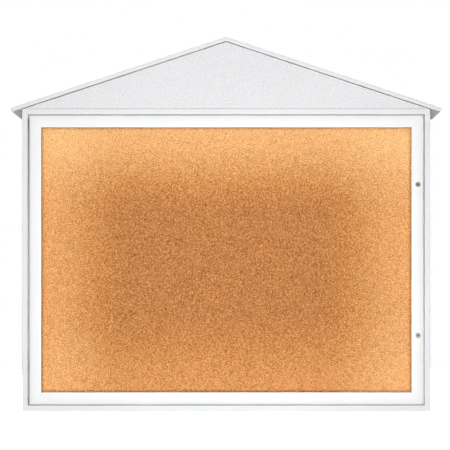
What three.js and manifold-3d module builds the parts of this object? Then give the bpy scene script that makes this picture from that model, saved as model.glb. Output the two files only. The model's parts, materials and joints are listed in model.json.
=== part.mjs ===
// A lockable wall case for notices: a frame of aluminium extrusions under a gabled roof, a cork board
// at the back, and a glazed door on a continuous hinge that two cam locks hold shut.
// Millimetres. +Z is up, the front faces -Y, the wall is the plane y = 0.
// Depths are counted from the front face of the case towards the wall.

import * as THREE from "three";
import { mergeVertices } from "three/addons/utils/BufferGeometryUtils.js";
import Module from "manifold-3d";

const wasm = await Module();
wasm.setup();

// Driving dimensions

const clearance = 0.3; // between pieces that seat on each other
const overrun = 4; // how far a cutting shape runs past what it cuts
const sheet = 2; // folded sheet of the roof, gable and brackets

const board = { width: 1067.8, height: 764.4 }; // cork that shows inside the door frame

// Extrusion of the four door members
const doorBar = {
  face: 36,
  depth: 22,
  wall: 2,
  crownWidth: 17, // rounded outer part of the face
  crownDrop: 6, // how far the face falls back at its outer edge
  rebate: 10, // step that holds the glazing
  hingeGap: 3, // from the left jamb
  freeGap: 2, // from the right jamb
  endGap: 1.5, // from the rails
};

const cornerKey = { leg: 62 };
const pane = { thickness: 3 };
const gasket = { wall: 1, show: 1 };
const bead = { wall: 1.4, setback: 5 };
const seal = { thickness: 2.4, base: 0.8, edge: 0.6 };

const cork = { thickness: 6.4 };
const backer = { thickness: 6.4 };
const backPanel = { thickness: 1.5, edgeGap: 0.5 };

// Extrusion of the four case members
const caseBar = {
  face: 16.5,
  depth: 101.6,
  wall: 2,
  outerRadius: 2,
  innerRadius: 0.8,
  flangeWall: 2,
  stopWidth: 9, // flange that the door closes on
  ledgeWidth: 7.5, // flanges in front of the cork and behind the back panel
  rearRecess: 6.9, // from the rear flange to the wall
  portRadius: 2.1,
  bossRadius: 4,
};

const endCap = { thickness: 2, peg: 10 };
const drain = { radius: 3, depth: 12, spacing: 400, count: 3 };
const frameScrew = { headRadius: 3.8, headDepth: 2.2, shankRadius: 1.8, holeRadius: 2.3, length: 44, point: 2 };

const roof = {
  rise: 194.5, // from the case's sides to the ridge, under the roof
  drop: 3.2, // how far the roof's underside hangs below the case's top corners
  edge: 11.5, // height of the folded edge, square to the slope
  frontOverhang: 13,
  eaveOverhang: 26,
  ridgeGap: 0.6,
};
const gable = { flange: 20 };
const ridgeJoiner = { reach: 60 };
const roofCleat = { inset: 22, foot: 36, rest: 44, endGap: 6 };

const hinge = {
  knuckleRadius: 2,
  pinRadius: 0.9,
  pinHeadRadius: 1.8,
  pinHead: 0.8,
  setback: 2.4, // pin axis behind the front face
  leafThickness: 0.8,
  leafWidth: 17.6, // from the pin axis
  endMargin: 12,
  knuckleCount: 25,
};

const lock = {
  height: 217.5, // above and below the door's middle
  inset: 17.6, // from the door's free edge
  headRadius: 7.2,
  headThickness: 2,
  headBevel: 0.6,
  seatDepth: 1.1, // spot face in the rounded stile
  barrelRadius: 6,
  plugRadius: 4.1,
  plugHeadRadius: 5,
  plugHeadThickness: 1.2,
  plugSetback: 0.3, // plug face behind the head's face
  tailHalf: 2.6, // half the width of the square tail
  keywayWidth: 6.2,
  keywayHeight: 1.4,
  keywayDepth: 14,
};
const nut = { acrossFlats: 15, thickness: 3 };
const strike = { thickness: 1, length: 56, leg: 16 };
const cam = { thickness: 2, hubRadius: 6.5, tipRadius: 4.5, reach: 17.2, strikeGap: 0.7 };
const camScrew = { headRadius: 3.6, headHeight: 1.8, headBevel: 0.5, shankRadius: 1.3, length: 6 };

const hanger = { drop: 29.2, length: 1000, grip: 30, hook: 30, ramp: 8 };
const spacer = { rise: 67.2, length: 400 };

const roundSegments = 24;
const crownSegments = 8;
const cornerSegments = 5;

// Sizes that follow

const doorWidth = board.width + 2 * doorBar.face;
const doorHeight = board.height + 2 * doorBar.face;
const innerWidth = doorWidth + doorBar.hingeGap + doorBar.freeGap;
const doorShift = (doorBar.hingeGap - doorBar.freeGap) / 2; // from the middle of the case to the middle of the door
const innerHeight = doorHeight + 2 * doorBar.endGap;
const caseSide = innerWidth / 2 + caseBar.face;
const caseTop = innerHeight / 2 + caseBar.face;

const stopDepth = doorBar.depth + seal.thickness + 2 * clearance;
const stopBack = stopDepth + caseBar.flangeWall;
const rearFlangeDepth = caseBar.depth - caseBar.rearRecess - caseBar.flangeWall;
const backPanelDepth = rearFlangeDepth - clearance - backPanel.thickness;
const backerDepth = backPanelDepth - clearance - backer.thickness;
const corkDepth = backerDepth - clearance - cork.thickness;
const ledgeBack = corkDepth - clearance;
const ledgeDepth = ledgeBack - caseBar.flangeWall;
const frontPort = stopDepth + caseBar.flangeWall / 2;
const rearPort = ledgeDepth + caseBar.flangeWall / 2;

const rebateFloor = doorBar.face - doorBar.rebate;
const gasketFront = doorBar.wall + clearance;
const paneFront = gasketFront + gasket.wall + clearance;
const paneBack = paneFront + pane.thickness;
const gasketBack = paneBack + clearance + gasket.wall;
const beadFront = gasketBack + clearance;
const beadEdge = rebateFloor + clearance;

const lockX = doorWidth / 2 - lock.inset;
const strikeFront = stopBack + clearance;
const camFront = strikeFront + strike.thickness + cam.strikeGap;
const camBack = camFront + cam.thickness;
const plugBack = camFront - clearance;

// The bars' hooks are centred on these heights, clear of the rails' rear flanges.
const openHalf = innerHeight / 2 - caseBar.ledgeWidth;
const hangerHeight = openHalf - hanger.drop - hanger.grip - hanger.ramp - hanger.hook / 2;
const spacerHeight = hanger.hook / 2 + spacer.rise - openHalf;

const slope = roof.rise / caseSide;
const pitch = Math.atan(slope);
const roofBase = caseTop + clearance;
const roofInside = roof.edge - sheet - clearance; // what stands under the roof sheet reaches this high

// Finishes

const finish = (color, roughness, metalness) => new THREE.MeshStandardMaterial({ color, roughness, metalness });
const whiteCoat = () => finish(0xf1f2f3, 0.42, 0);
const texturedCoat = () => finish(0xe9eaec, 0.6, 0);
const millAluminium = () => finish(0xb9bcc0, 0.4, 1);
const stainless = () => finish(0xa9a9a7, 0.35, 1);
const zincPlate = () => finish(0xb8b8b2, 0.4, 1);
const brassPlate = () => finish(0xb2ad8d, 0.32, 1);
const darkRubber = () => finish(0x2b2c2e, 0.85, 0);
const greyRubber = () => finish(0x6f6a63, 0.8, 0);
const nylon = () => finish(0xdfe0e2, 0.55, 0);
const corkFace = () => finish(0xd9955a, 0.95, 0);
const hardboard = () => finish(0x7a5a3c, 0.85, 0);
const clearSheet = () => {
  const material = finish(0xf4f8f8, 0.05, 0);
  material.transparent = true;
  material.opacity = 0.18;
  return material;
};

// Geometry helpers

// A closed geometry as a solid that can be joined and cut.
function solid(geometry) {
  const bare = geometry.clone();
  bare.deleteAttribute("normal");
  bare.deleteAttribute("uv");
  const merged = mergeVertices(bare);
  return new wasm.Manifold(
    new wasm.Mesh({
      numProp: 3,
      vertProperties: merged.attributes.position.array,
      triVerts: new Uint32Array(merged.index.array),
    }),
  );
}

// A solid back as a geometry.
function skin(body) {
  const mesh = body.getMesh();
  const geometry = new THREE.BufferGeometry();
  geometry.setAttribute("position", new THREE.BufferAttribute(mesh.vertProperties, 3));
  geometry.setIndex(new THREE.BufferAttribute(mesh.triVerts, 1));
  geometry.computeVertexNormals();
  return geometry;
}

function cut(geometry, ...tools) {
  return skin(tools.reduce((body, tool) => body.subtract(solid(tool)), solid(geometry)));
}

function join(...geometries) {
  return skin(geometries.map(solid).reduce((body, next) => body.add(next)));
}

function extrude(shape, depth, curveSegments = cornerSegments) {
  return new THREE.ExtrudeGeometry(shape, { depth, bevelEnabled: false, curveSegments });
}

const between = (a, b) => [Math.min(a, b), Math.max(a, b)];

// A box between two values along each axis.
function block([x0, x1], [y0, y1], [z0, z1]) {
  const box = new THREE.BoxGeometry(x1 - x0, y1 - y0, z1 - z0);
  return box.translate((x0 + x1) / 2, (y0 + y1) / 2, (z0 + z1) / 2);
}

// A round bar along Y, between two depths.
function rod(radius, y0, y1, x = 0, z = 0) {
  return new THREE.CylinderGeometry(radius, radius, y1 - y0, roundSegments).translate(x, (y0 + y1) / 2, z);
}

// A piece turned about Y from a closed profile of [radius, depth] pairs, listed from the front round the outside.
function turned(profile) {
  const points = profile.map(([radius, depth]) => new THREE.Vector2(radius, depth));
  return new THREE.LatheGeometry(points, roundSegments);
}

const outline = (points) => new THREE.Shape(points.map(([x, y]) => new THREE.Vector2(x, y)));
const mirrored = (points, side) => points.map(([x, y]) => [side * x, y]);

// A bar along X. Its section is drawn with x as the distance in from the outer edge and y as the depth.
// The outer edge lies on z = 0 and the rest below it. A mitre of 1 cuts both ends at 45 degrees.
function bar(section, length, mitre = 0, segments = cornerSegments) {
  const geometry = extrude(section, length, segments);
  const position = geometry.attributes.position;
  for (let i = 0; i < position.count; i++) {
    const end = position.getZ(i) > length / 2 ? 1 : -1;
    position.setZ(i, end * (length / 2 - mitre * position.getX(i)));
  }
  return geometry.rotateY(Math.PI / 2);
}

// A plate with its outline in x and z, between two depths.
function plate(shape, y0, y1) {
  return extrude(shape, y1 - y0).rotateX(Math.PI / 2).translate(0, y1, 0);
}

// A bar along X, centred, from an outline in depth and z.
function crossBar(shape, length) {
  const turn = new THREE.Matrix4().makeBasis(
    new THREE.Vector3(0, 1, 0),
    new THREE.Vector3(0, 0, 1),
    new THREE.Vector3(1, 0, 0),
  );
  return extrude(shape, length).translate(0, 0, -length / 2).applyMatrix4(turn);
}

// An upright bar, centred, from an outline in x and depth.
const uprightBar = (shape, length) => extrude(shape, length).translate(0, 0, -length / 2);

// The outline of a folded strip: a line of folds, given its thickness on the left of the line.
function foldedStrip(folds, thickness) {
  const line = folds.map(([x, y]) => new THREE.Vector2(x, y));
  const normals = line.slice(1).map((point, i) => {
    const along = point.clone().sub(line[i]).normalize();
    return new THREE.Vector2(-along.y, along.x);
  });
  const offset = line.map((point, i) => {
    const before = normals[Math.max(i - 1, 0)];
    const after = normals[Math.min(i, normals.length - 1)];
    const step = before.clone().add(after).divideScalar(1 + before.dot(after));
    return point.clone().addScaledVector(step, thickness);
  });
  return [...line, ...offset.reverse()].map((point) => [point.x, point.y]);
}

// Groups: everything is built about the middle of the case, with y counted as depth.

const noticeBoard = new THREE.Group();
const cabinet = new THREE.Group();
const door = new THREE.Group();
noticeBoard.add(cabinet, door);
noticeBoard.position.set(0, -caseBar.depth, -hangerHeight);
door.position.x = doorShift;

function place(group, name, geometry, material, position = [0, 0, 0], turn = 0) {
  const mesh = new THREE.Mesh(geometry, material);
  mesh.name = name;
  mesh.position.set(...position);
  mesh.rotation.y = turn;
  group.add(mesh);
}

// Turns that point a bar's outer edge left, right, up or down.
const sides = [
  { name: "left", side: -1, turn: -Math.PI / 2 },
  { name: "right", side: 1, turn: Math.PI / 2 },
];
const ends = [
  { name: "top", side: 1, turn: 0 },
  { name: "bottom", side: -1, turn: Math.PI },
];

// Case frame: one hollow extrusion with a door stop, a ledge for the cork, a rear flange and two screw ports

const widestFlange = Math.max(caseBar.stopWidth, caseBar.ledgeWidth);

// The rounded front of the extrusion, from its outer wall round to its inner wall.
function roundFront(shape) {
  const { face, outerRadius, innerRadius } = caseBar;
  shape.lineTo(0, outerRadius);
  shape.absarc(outerRadius, outerRadius, outerRadius, Math.PI, 1.5 * Math.PI, false);
  shape.lineTo(face - innerRadius, 0);
  shape.absarc(face - innerRadius, innerRadius, innerRadius, 1.5 * Math.PI, 2 * Math.PI, false);
}

// One hollow of the extrusion, between two depths, with half of a screw boss on each web that has one.
function hollow(front, back, frontBoss, backBoss) {
  const { face, wall, bossRadius } = caseBar;
  const path = new THREE.Path();
  path.moveTo(wall, back);
  path.lineTo(wall, front);
  if (frontBoss !== undefined) {
    const angle = Math.asin((front - frontBoss) / bossRadius);
    path.absarc(face / 2, frontBoss, bossRadius, Math.PI - angle, angle, true);
  }
  path.lineTo(face - wall, front);
  path.lineTo(face - wall, back);
  if (backBoss !== undefined) {
    const angle = Math.asin((backBoss - back) / bossRadius);
    path.absarc(face / 2, backBoss, bossRadius, -angle, angle - Math.PI, true);
  }
  path.closePath();
  return path;
}

function caseSection() {
  const { face, depth, wall, flangeWall, stopWidth, ledgeWidth, portRadius } = caseBar;
  const shape = new THREE.Shape();
  shape.moveTo(0, depth);
  roundFront(shape);
  const flanges = [
    [stopDepth, stopWidth],
    [ledgeDepth, ledgeWidth],
    [rearFlangeDepth, ledgeWidth],
  ];
  for (const [front, width] of flanges) {
    shape.lineTo(face, front);
    shape.lineTo(face + width, front);
    shape.lineTo(face + width, front + flangeWall);
    shape.lineTo(face, front + flangeWall);
  }
  shape.lineTo(face, depth);
  shape.closePath();
  shape.holes.push(
    hollow(wall, stopDepth, undefined, frontPort),
    hollow(stopBack, ledgeDepth, frontPort, rearPort),
    hollow(ledgeBack, depth - wall, rearPort, undefined),
  );
  for (const port of [frontPort, rearPort]) {
    const hole = new THREE.Path();
    hole.absarc(face / 2, port, portRadius, 0, 2 * Math.PI, true);
    shape.holes.push(hole);
  }
  return shape;
}

// A countersunk hole into a jamb from its outer face, where a frame screw passes.
function screwHole(x, depth) {
  const { headRadius, headDepth, holeRadius } = frameScrew;
  const mouth = headRadius + 2 * clearance;
  const profile = [
    [0, -overrun],
    [mouth, -overrun],
    [mouth, 0],
    [holeRadius, headDepth],
    [holeRadius, caseBar.face + overrun],
    [0, caseBar.face + overrun],
  ];
  return turned(profile).rotateX(-Math.PI / 2).translate(x, depth, 0);
}

function jambs() {
  const { face, depth } = caseBar;
  const foot = endCap.thickness + clearance;
  const length = 2 * caseTop - foot;
  const notch = face + widestFlange + clearance;
  for (const { name, side, turn } of sides) {
    // Turned upright, the right jamb's bar runs down and the left one's runs up.
    const along = (height) => side * (foot / 2 - height);
    const notches = ends.map((end) =>
      block(
        between(along(end.side * (caseTop - notch)), along(end.side * (caseTop + overrun))),
        [-overrun, depth + overrun],
        [-face - widestFlange - overrun, -face],
      ),
    );
    const holes = ends.flatMap((end) =>
      [frontPort, rearPort].map((port) => screwHole(along(end.side * (caseTop - face / 2)), port)),
    );
    const geometry = cut(bar(caseSection(), length), ...notches, ...holes);
    place(cabinet, `${name}_jamb`, geometry, whiteCoat(), [side * caseSide, 0, foot / 2], turn);
  }
}

function rails() {
  for (const { name, side, turn } of ends) {
    const whole = bar(caseSection(), innerWidth - 2 * clearance);
    const drains = Array.from({ length: drain.count }, (_, i) => {
      const hole = rod(drain.radius, -overrun, caseBar.face + overrun).rotateX(-Math.PI / 2);
      return hole.translate((i - (drain.count - 1) / 2) * drain.spacing, drain.depth, 0);
    });
    const geometry = side < 0 ? cut(whole, ...drains) : whole;
    place(cabinet, `${name}_rail`, geometry, whiteCoat(), [0, 0, side * caseTop], turn);
  }
}

// Caps that close the hollow jambs at the foot, each with a peg for each hollow.
function endCaps() {
  const { face, depth, wall, bossRadius } = caseBar;
  const shape = new THREE.Shape();
  shape.moveTo(0, depth);
  roundFront(shape);
  shape.lineTo(face, depth);
  shape.closePath();
  const past = bossRadius + clearance;
  const pegDepths = [
    [wall + clearance, frontPort - past],
    [frontPort + past, rearPort - past],
    [rearPort + past, depth - wall - clearance],
  ];
  for (const { name, side, turn } of sides) {
    const up = -side;
    const cover = bar(shape, endCap.thickness).translate((up * endCap.thickness) / 2, 0, 0);
    const pegs = pegDepths.map((depths) =>
      block(between(0, up * (endCap.thickness + endCap.peg)), depths, [clearance + wall - face, -clearance - wall]),
    );
    place(cabinet, `${name}_jamb_end_cap`, join(cover, ...pegs), nylon(), [side * caseSide, 0, -caseTop], turn);
  }
}

function frameScrews() {
  const { headRadius, headDepth, shankRadius, length, point } = frameScrew;
  const profile = [
    [0, clearance],
    [headRadius, clearance],
    [shankRadius, clearance + headDepth],
    [shankRadius, length - point],
    [0, length],
  ];
  for (const { name, side } of sides) {
    for (const end of ends) {
      for (const [row, port] of [["front", frontPort], ["rear", rearPort]]) {
        const geometry = turned(profile).rotateZ((side * Math.PI) / 2);
        const height = end.side * (caseTop - caseBar.face / 2);
        place(cabinet, `${end.name}_${name}_${row}_screw`, geometry, stainless(), [side * caseSide, port, height]);
      }
    }
  }
}

// Back panel, backing board and cork, held between the ledge and the rear flange

function boardStack() {
  const width = innerWidth - 2 * backPanel.edgeGap;
  const height = innerHeight - 2 * backPanel.edgeGap;
  const layers = [
    ["back_panel", backPanelDepth, backPanel.thickness, millAluminium()],
    ["backing_board", backerDepth, backer.thickness, hardboard()],
    ["cork_board", corkDepth, cork.thickness, corkFace()],
  ];
  for (const [name, depth, thickness, material] of layers) {
    const geometry = new THREE.BoxGeometry(width, thickness, height);
    place(cabinet, name, geometry, material, [0, depth + thickness / 2, 0]);
  }
}

// Brackets that hold the case to the wall: the upper one hooks over a rail, the lower one keeps it plumb.
function wallBrackets() {
  const grip = backPanelDepth + backPanel.thickness + clearance;
  const wallSide = caseBar.depth - sheet;
  const half = hanger.hook / 2;
  const folds = [
    [grip, half + hanger.ramp + hanger.grip],
    [grip, half + hanger.ramp],
    [wallSide, half],
    [wallSide, -half],
  ];
  const section = outline(foldedStrip(folds, sheet));
  place(cabinet, "hanger_bar", crossBar(section, hanger.length), millAluminium(), [0, 0, hangerHeight]);
  place(cabinet, "spacer_bar", crossBar(section, spacer.length), millAluminium(), [0, 0, spacerHeight]);
}

// Gable and roof

// The roof's underside over a point, or a line that is `height` above it, square to the slope.
const roofLine = (x, height = 0) => roofBase - roof.drop + (caseSide - x) * slope + height / Math.cos(pitch);

function gablePanels() {
  const shape = outline([
    [-caseSide, roofBase],
    [caseSide, roofBase],
    [caseSide, roofLine(caseSide, roofInside)],
    [0, roofLine(0, roofInside)],
    [-caseSide, roofLine(caseSide, roofInside)],
  ]);
  const back = caseBar.depth - sheet - clearance;
  const panels = [
    ["gable_front_panel", [0, sheet], [0, gable.flange], texturedCoat()],
    ["gable_back_panel", [back - sheet, back], [back - gable.flange, back], whiteCoat()],
  ];
  for (const [name, depths, flangeDepths, material] of panels) {
    const flange = block([-caseSide, caseSide], flangeDepths, [roofBase, roofBase + sheet]);
    place(cabinet, name, join(plate(shape, ...depths), flange), material);
  }
}

function roofPanels() {
  const eaveX = caseSide + roof.eaveOverhang;
  const eaveZ = roofLine(eaveX);
  const at = (run, height) => [
    eaveX - run * Math.cos(pitch) + height * Math.sin(pitch),
    eaveZ + run * Math.sin(pitch) + height * Math.cos(pitch),
  ];
  const ridgeRun = (height) => (eaveX - roof.ridgeGap / 2 + height * Math.sin(pitch)) / Math.cos(pitch);
  const strip = (start, low, high, past) => [
    at(start, low),
    at(ridgeRun(low) + past, low),
    at(ridgeRun(high) + past, high),
    at(start, high),
  ];
  const returnRun = (roof.eaveOverhang - clearance) / Math.cos(pitch);
  const front = -roof.frontOverhang;
  const back = caseBar.depth;
  for (const { name, side } of sides) {
    const slab = (points, y0, y1) => plate(outline(mirrored(points, side)), y0, y1);
    const geometry = cut(
      slab(strip(0, 0, roof.edge, 0), front, back),
      slab(strip(sheet, sheet, roof.edge - sheet, overrun), front + sheet, back - sheet),
      slab(strip(returnRun, -overrun, roof.edge / 2, overrun), -clearance, back + overrun),
    );
    place(cabinet, `roof_${name}_panel`, geometry, whiteCoat());
  }
}

// Folded strips under the roof sheet: one joins the two halves at the ridge, one stands on the top rail each side.
function roofSupports() {
  const low = (x) => roofLine(x, roofInside - sheet);
  const { reach } = ridgeJoiner;
  const joiner = foldedStrip(
    [
      [-reach, low(reach)],
      [0, low(0)],
      [reach, low(reach)],
    ],
    sheet,
  );
  const gableBack = caseBar.depth - 2 * sheet - clearance;
  const joinerGeometry = plate(outline(joiner), sheet + clearance, gableBack - clearance);
  place(cabinet, "ridge_joiner", joinerGeometry, millAluminium());

  const outer = caseSide - roofCleat.inset;
  const riser = outer - roofCleat.foot;
  const inner = riser - roofCleat.rest;
  const folds = [
    [inner, low(inner)],
    [riser, low(riser)],
    [riser, roofBase],
    [outer, roofBase],
  ];
  const front = gable.flange + roofCleat.endGap;
  const back = gableBack + sheet - gable.flange - roofCleat.endGap;
  for (const { name, side } of sides) {
    const shape = outline(mirrored(foldedStrip(folds, sheet), side));
    place(cabinet, `roof_${name}_cleat`, plate(shape, front, back), millAluminium());
  }
}

// Weather seal on the door stop

function seals() {
  const width = caseBar.stopWidth - 2 * seal.edge;
  const back = stopDepth - clearance;
  const shoulder = back - seal.base;
  const shape = new THREE.Shape();
  shape.moveTo(0, back);
  shape.lineTo(0, shoulder);
  shape.absellipse(width / 2, shoulder, width / 2, seal.thickness - seal.base, Math.PI, 2 * Math.PI, false);
  shape.lineTo(width, back);
  shape.closePath();
  const sideLength = innerHeight - 2 * clearance;
  const endLength = innerWidth - 2 * (caseBar.stopWidth + clearance);
  for (const { name, side, turn } of sides) {
    const position = [side * (innerWidth / 2 - seal.edge), 0, 0];
    place(cabinet, `${name}_door_seal`, bar(shape, sideLength), darkRubber(), position, turn);
  }
  for (const { name, side, turn } of ends) {
    const position = [0, 0, side * (innerHeight / 2 - seal.edge)];
    place(cabinet, `${name}_door_seal`, bar(shape, endLength), darkRubber(), position, turn);
  }
}

// Strike plates behind the right stop flange, one for each cam

function strikes() {
  const wall = innerWidth / 2 - clearance;
  const folds = [
    [innerWidth / 2 - caseBar.stopWidth, strikeFront],
    [wall, strikeFront],
    [wall, strikeFront + strike.leg],
  ];
  const shape = outline(foldedStrip(folds, strike.thickness));
  for (const [name, side] of [["upper", 1], ["lower", -1]]) {
    const geometry = uprightBar(shape, strike.length);
    place(cabinet, `${name}_strike_plate`, geometry, stainless(), [0, 0, side * lock.height]);
  }
}

// Continuous hinge: two leaves whose knuckles take turns along one pin

const hingeLength = doorHeight - 2 * hinge.endMargin;
const pinFromJamb = clearance + hinge.knuckleRadius;
const pinX = pinFromJamb - innerWidth / 2;

// A leaf about the pin axis, from the sides of its plate, the depth where its knuckles join it and its first knuckle.
function hingeLeaf(plateSides, root, first) {
  const { knuckleRadius, pinRadius, leafWidth, knuckleCount } = hinge;
  const half = hingeLength / 2;
  const step = hingeLength / knuckleCount;
  const relief = knuckleRadius + clearance;
  const upright = (radius, z0, z1) => rod(radius, z0, z1).rotateX(Math.PI / 2);
  const pieces = [block(plateSides, [relief, leafWidth], [-half, half])];
  for (let i = first; i < knuckleCount; i += 2) {
    const ends = [i * step - half + clearance / 2, (i + 1) * step - half - clearance / 2];
    pieces.push(upright(knuckleRadius, ...ends), block(plateSides, [root, leafWidth / 2], ends));
  }
  return cut(join(...pieces), upright(pinRadius + clearance, -half - overrun, half + overrun));
}

function hingeParts() {
  const { knuckleRadius, leafThickness, pinRadius, pinHeadRadius, pinHead, setback } = hinge;
  const axis = [pinX, setback, 0];
  const jambLeaf = hingeLeaf([-knuckleRadius, leafThickness - knuckleRadius], 0, 0);
  place(cabinet, "hinge_jamb_leaf", jambLeaf, stainless(), axis);

  const doorFace = doorBar.hingeGap - pinFromJamb - clearance;
  const doorLeaf = hingeLeaf([doorFace - leafThickness, doorFace], (knuckleRadius + pinRadius + clearance) / 2, 1);
  place(door, "hinge_door_leaf", doorLeaf, stainless(), [pinX - doorShift, setback, 0]);

  const end = hingeLength / 2 + clearance;
  const profile = [
    [0, -end - pinHead],
    [pinHeadRadius, -end - pinHead],
    [pinHeadRadius, -end],
    [pinRadius, -end],
    [pinRadius, end],
    [pinHeadRadius, end],
    [pinHeadRadius, end + pinHead],
    [0, end + pinHead],
  ];
  place(cabinet, "hinge_pin", turned(profile).rotateX(Math.PI / 2), stainless(), axis);
}

// Door frame: one hollow extrusion with a rounded outer face and a rebate, mitred at the corners

function doorSection() {
  const { face, depth, wall, crownWidth, crownDrop } = doorBar;
  const shape = new THREE.Shape();
  shape.moveTo(0, depth);
  shape.lineTo(0, crownDrop);
  shape.absellipse(crownWidth, crownDrop, crownWidth, crownDrop, Math.PI, 1.5 * Math.PI, false);
  shape.lineTo(face, 0);
  shape.lineTo(face, wall);
  shape.lineTo(rebateFloor, wall);
  shape.lineTo(rebateFloor, depth);
  shape.closePath();
  const inside = new THREE.Path();
  inside.moveTo(wall, depth - wall);
  inside.lineTo(wall, crownDrop);
  inside.absellipse(crownWidth, crownDrop, crownWidth - wall, crownDrop - wall, Math.PI, 1.5 * Math.PI, false);
  inside.lineTo(rebateFloor - wall, wall);
  inside.lineTo(rebateFloor - wall, depth - wall);
  inside.closePath();
  shape.holes.push(inside);
  return shape;
}

function doorFrame() {
  const mitreGap = clearance * Math.SQRT2;
  const member = (length) => bar(doorSection(), length - mitreGap, 1, crownSegments);
  const lockHoles = [1, -1].flatMap((end) => [
    rod(lock.headRadius + clearance, -overrun, lock.seatDepth, end * lock.height, -lock.inset),
    rod(lock.barrelRadius + clearance, -overrun, doorBar.depth + overrun, end * lock.height, -lock.inset),
  ]);
  for (const { name, side, turn } of sides) {
    const whole = member(doorHeight);
    const geometry = side > 0 ? cut(whole, ...lockHoles) : whole;
    place(door, `door_${name}_stile`, geometry, whiteCoat(), [(side * doorWidth) / 2, 0, 0], turn);
  }
  for (const { name, side, turn } of ends) {
    place(door, `door_${name}_rail`, member(doorWidth), whiteCoat(), [0, 0, (side * doorHeight) / 2], turn);
  }
}

// Cast corner keys inside the hollow door members
function cornerKeys() {
  const near = doorBar.wall + clearance;
  const far = rebateFloor - doorBar.wall - clearance;
  const elbow = [
    [near, near],
    [cornerKey.leg, near],
    [cornerKey.leg, far],
    [far, far],
    [far, cornerKey.leg],
    [near, cornerKey.leg],
  ];
  const front = doorBar.crownDrop + clearance;
  const back = doorBar.depth - doorBar.wall - clearance;
  for (const end of ends) {
    for (const { name, side } of sides) {
      const corner = elbow.map(([x, z]) => [side * (doorWidth / 2 - x), end.side * (doorHeight / 2 - z)]);
      place(door, `${end.name}_${name}_corner_key`, plate(outline(corner), front, back), zincPlate());
    }
  }
}

// Glazing: a clear sheet in a channel gasket, held from behind by four mitred beads

function glazing() {
  const paneInset = beadEdge + gasket.wall + clearance;
  const across = (inset) => [inset - doorWidth / 2, doorWidth / 2 - inset];
  const upDown = (inset) => [inset - doorHeight / 2, doorHeight / 2 - inset];
  const sheetBox = (inset, depths) => block(across(inset), depths, upDown(inset));
  place(door, "glazing_pane", sheetBox(paneInset, [paneFront, paneBack]), clearSheet());

  const channel = cut(
    sheetBox(beadEdge, [gasketFront, gasketBack]),
    sheetBox(paneInset - clearance, [paneFront - clearance, paneBack + clearance]),
    sheetBox(doorBar.face + gasket.show, [gasketFront - overrun, paneFront]),
    sheetBox(doorBar.face - bead.setback, [paneBack, gasketBack + overrun]),
  );
  place(door, "glazing_gasket", channel, greyRubber());

  const height = doorBar.face - bead.setback - beadEdge;
  const back = doorBar.depth;
  const section = outline([
    [0, beadFront],
    [height, beadFront],
    [height, back],
    [0, back],
    [0, back - bead.wall],
    [height - bead.wall, back - bead.wall],
    [height - bead.wall, beadFront + bead.wall],
    [0, beadFront + bead.wall],
  ]);
  const mitreGap = clearance * Math.SQRT2;
  const beadBar = (length) => bar(section, length - 2 * beadEdge - mitreGap, 1);
  for (const { name, side, turn } of sides) {
    const position = [side * (doorWidth / 2 - beadEdge), 0, 0];
    place(door, `${name}_glazing_bead`, beadBar(doorHeight), whiteCoat(), position, turn);
  }
  for (const { name, side, turn } of ends) {
    const position = [0, 0, side * (doorHeight / 2 - beadEdge)];
    place(door, `${name}_glazing_bead`, beadBar(doorWidth), whiteCoat(), position, turn);
  }
}

// Cam locks: a threaded body and nut in the stile, and a plug that turns with its cam and screw

const headFront = lock.seatDepth - clearance - lock.headThickness;
const plugFront = headFront + lock.plugSetback;
const plugShoulder = plugFront + lock.plugHeadThickness;

function lockBody() {
  const { headRadius, headBevel, seatDepth, barrelRadius, plugRadius, plugHeadRadius } = lock;
  const bore = plugRadius + clearance;
  const recess = plugHeadRadius + clearance;
  const recessFloor = plugShoulder + clearance;
  return turned([
    [recess, headFront],
    [headRadius - headBevel, headFront],
    [headRadius, headFront + headBevel],
    [headRadius, seatDepth - clearance],
    [barrelRadius, seatDepth - clearance],
    [barrelRadius, plugBack],
    [bore, plugBack],
    [bore, recessFloor],
    [recess, recessFloor],
    [recess, headFront],
  ]);
}

function lockPlug() {
  const { plugRadius, plugHeadRadius, tailHalf, keywayWidth, keywayHeight, keywayDepth } = lock;
  const core = turned([
    [0, plugFront],
    [plugHeadRadius, plugFront],
    [plugHeadRadius, plugShoulder],
    [plugRadius, plugShoulder],
    [plugRadius, plugBack],
    [0, plugBack],
  ]);
  const tail = block([-tailHalf, tailHalf], [plugShoulder, camBack], [-tailHalf, tailHalf]);
  const keyway = block(
    [-keywayWidth / 2, keywayWidth / 2],
    [plugFront - overrun, plugFront + keywayDepth],
    [-keywayHeight / 2, keywayHeight / 2],
  );
  const screwBore = rod(camScrew.shankRadius + clearance, camBack - camScrew.length, camBack + overrun);
  return cut(join(core, tail), keyway, screwBore);
}

function lockCam() {
  const { hubRadius, tipRadius, reach, thickness } = cam;
  const tipZ = reach - tipRadius;
  const lean = Math.asin((hubRadius - tipRadius) / tipZ);
  const shape = new THREE.Shape();
  shape.absarc(0, tipZ, tipRadius, lean, Math.PI - lean, false);
  shape.absarc(0, 0, hubRadius, Math.PI - lean, 2 * Math.PI + lean, false);
  shape.closePath();
  const half = lock.tailHalf + clearance;
  const square = [
    [-half, -half],
    [half, -half],
    [half, half],
    [-half, half],
  ];
  shape.holes.push(new THREE.Path(square.map(([x, y]) => new THREE.Vector2(x, y))));
  return extrude(shape, thickness, crownSegments).rotateX(Math.PI / 2).translate(0, camBack, 0);
}

function lockCamScrew() {
  const { headRadius, headHeight, headBevel, shankRadius, length } = camScrew;
  const seat = camBack + clearance;
  return turned([
    [0, seat + clearance - length],
    [shankRadius, seat + clearance - length],
    [shankRadius, seat],
    [headRadius, seat],
    [headRadius, seat + headHeight - headBevel],
    [headRadius - headBevel, seat + headHeight],
    [0, seat + headHeight],
  ]);
}

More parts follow.
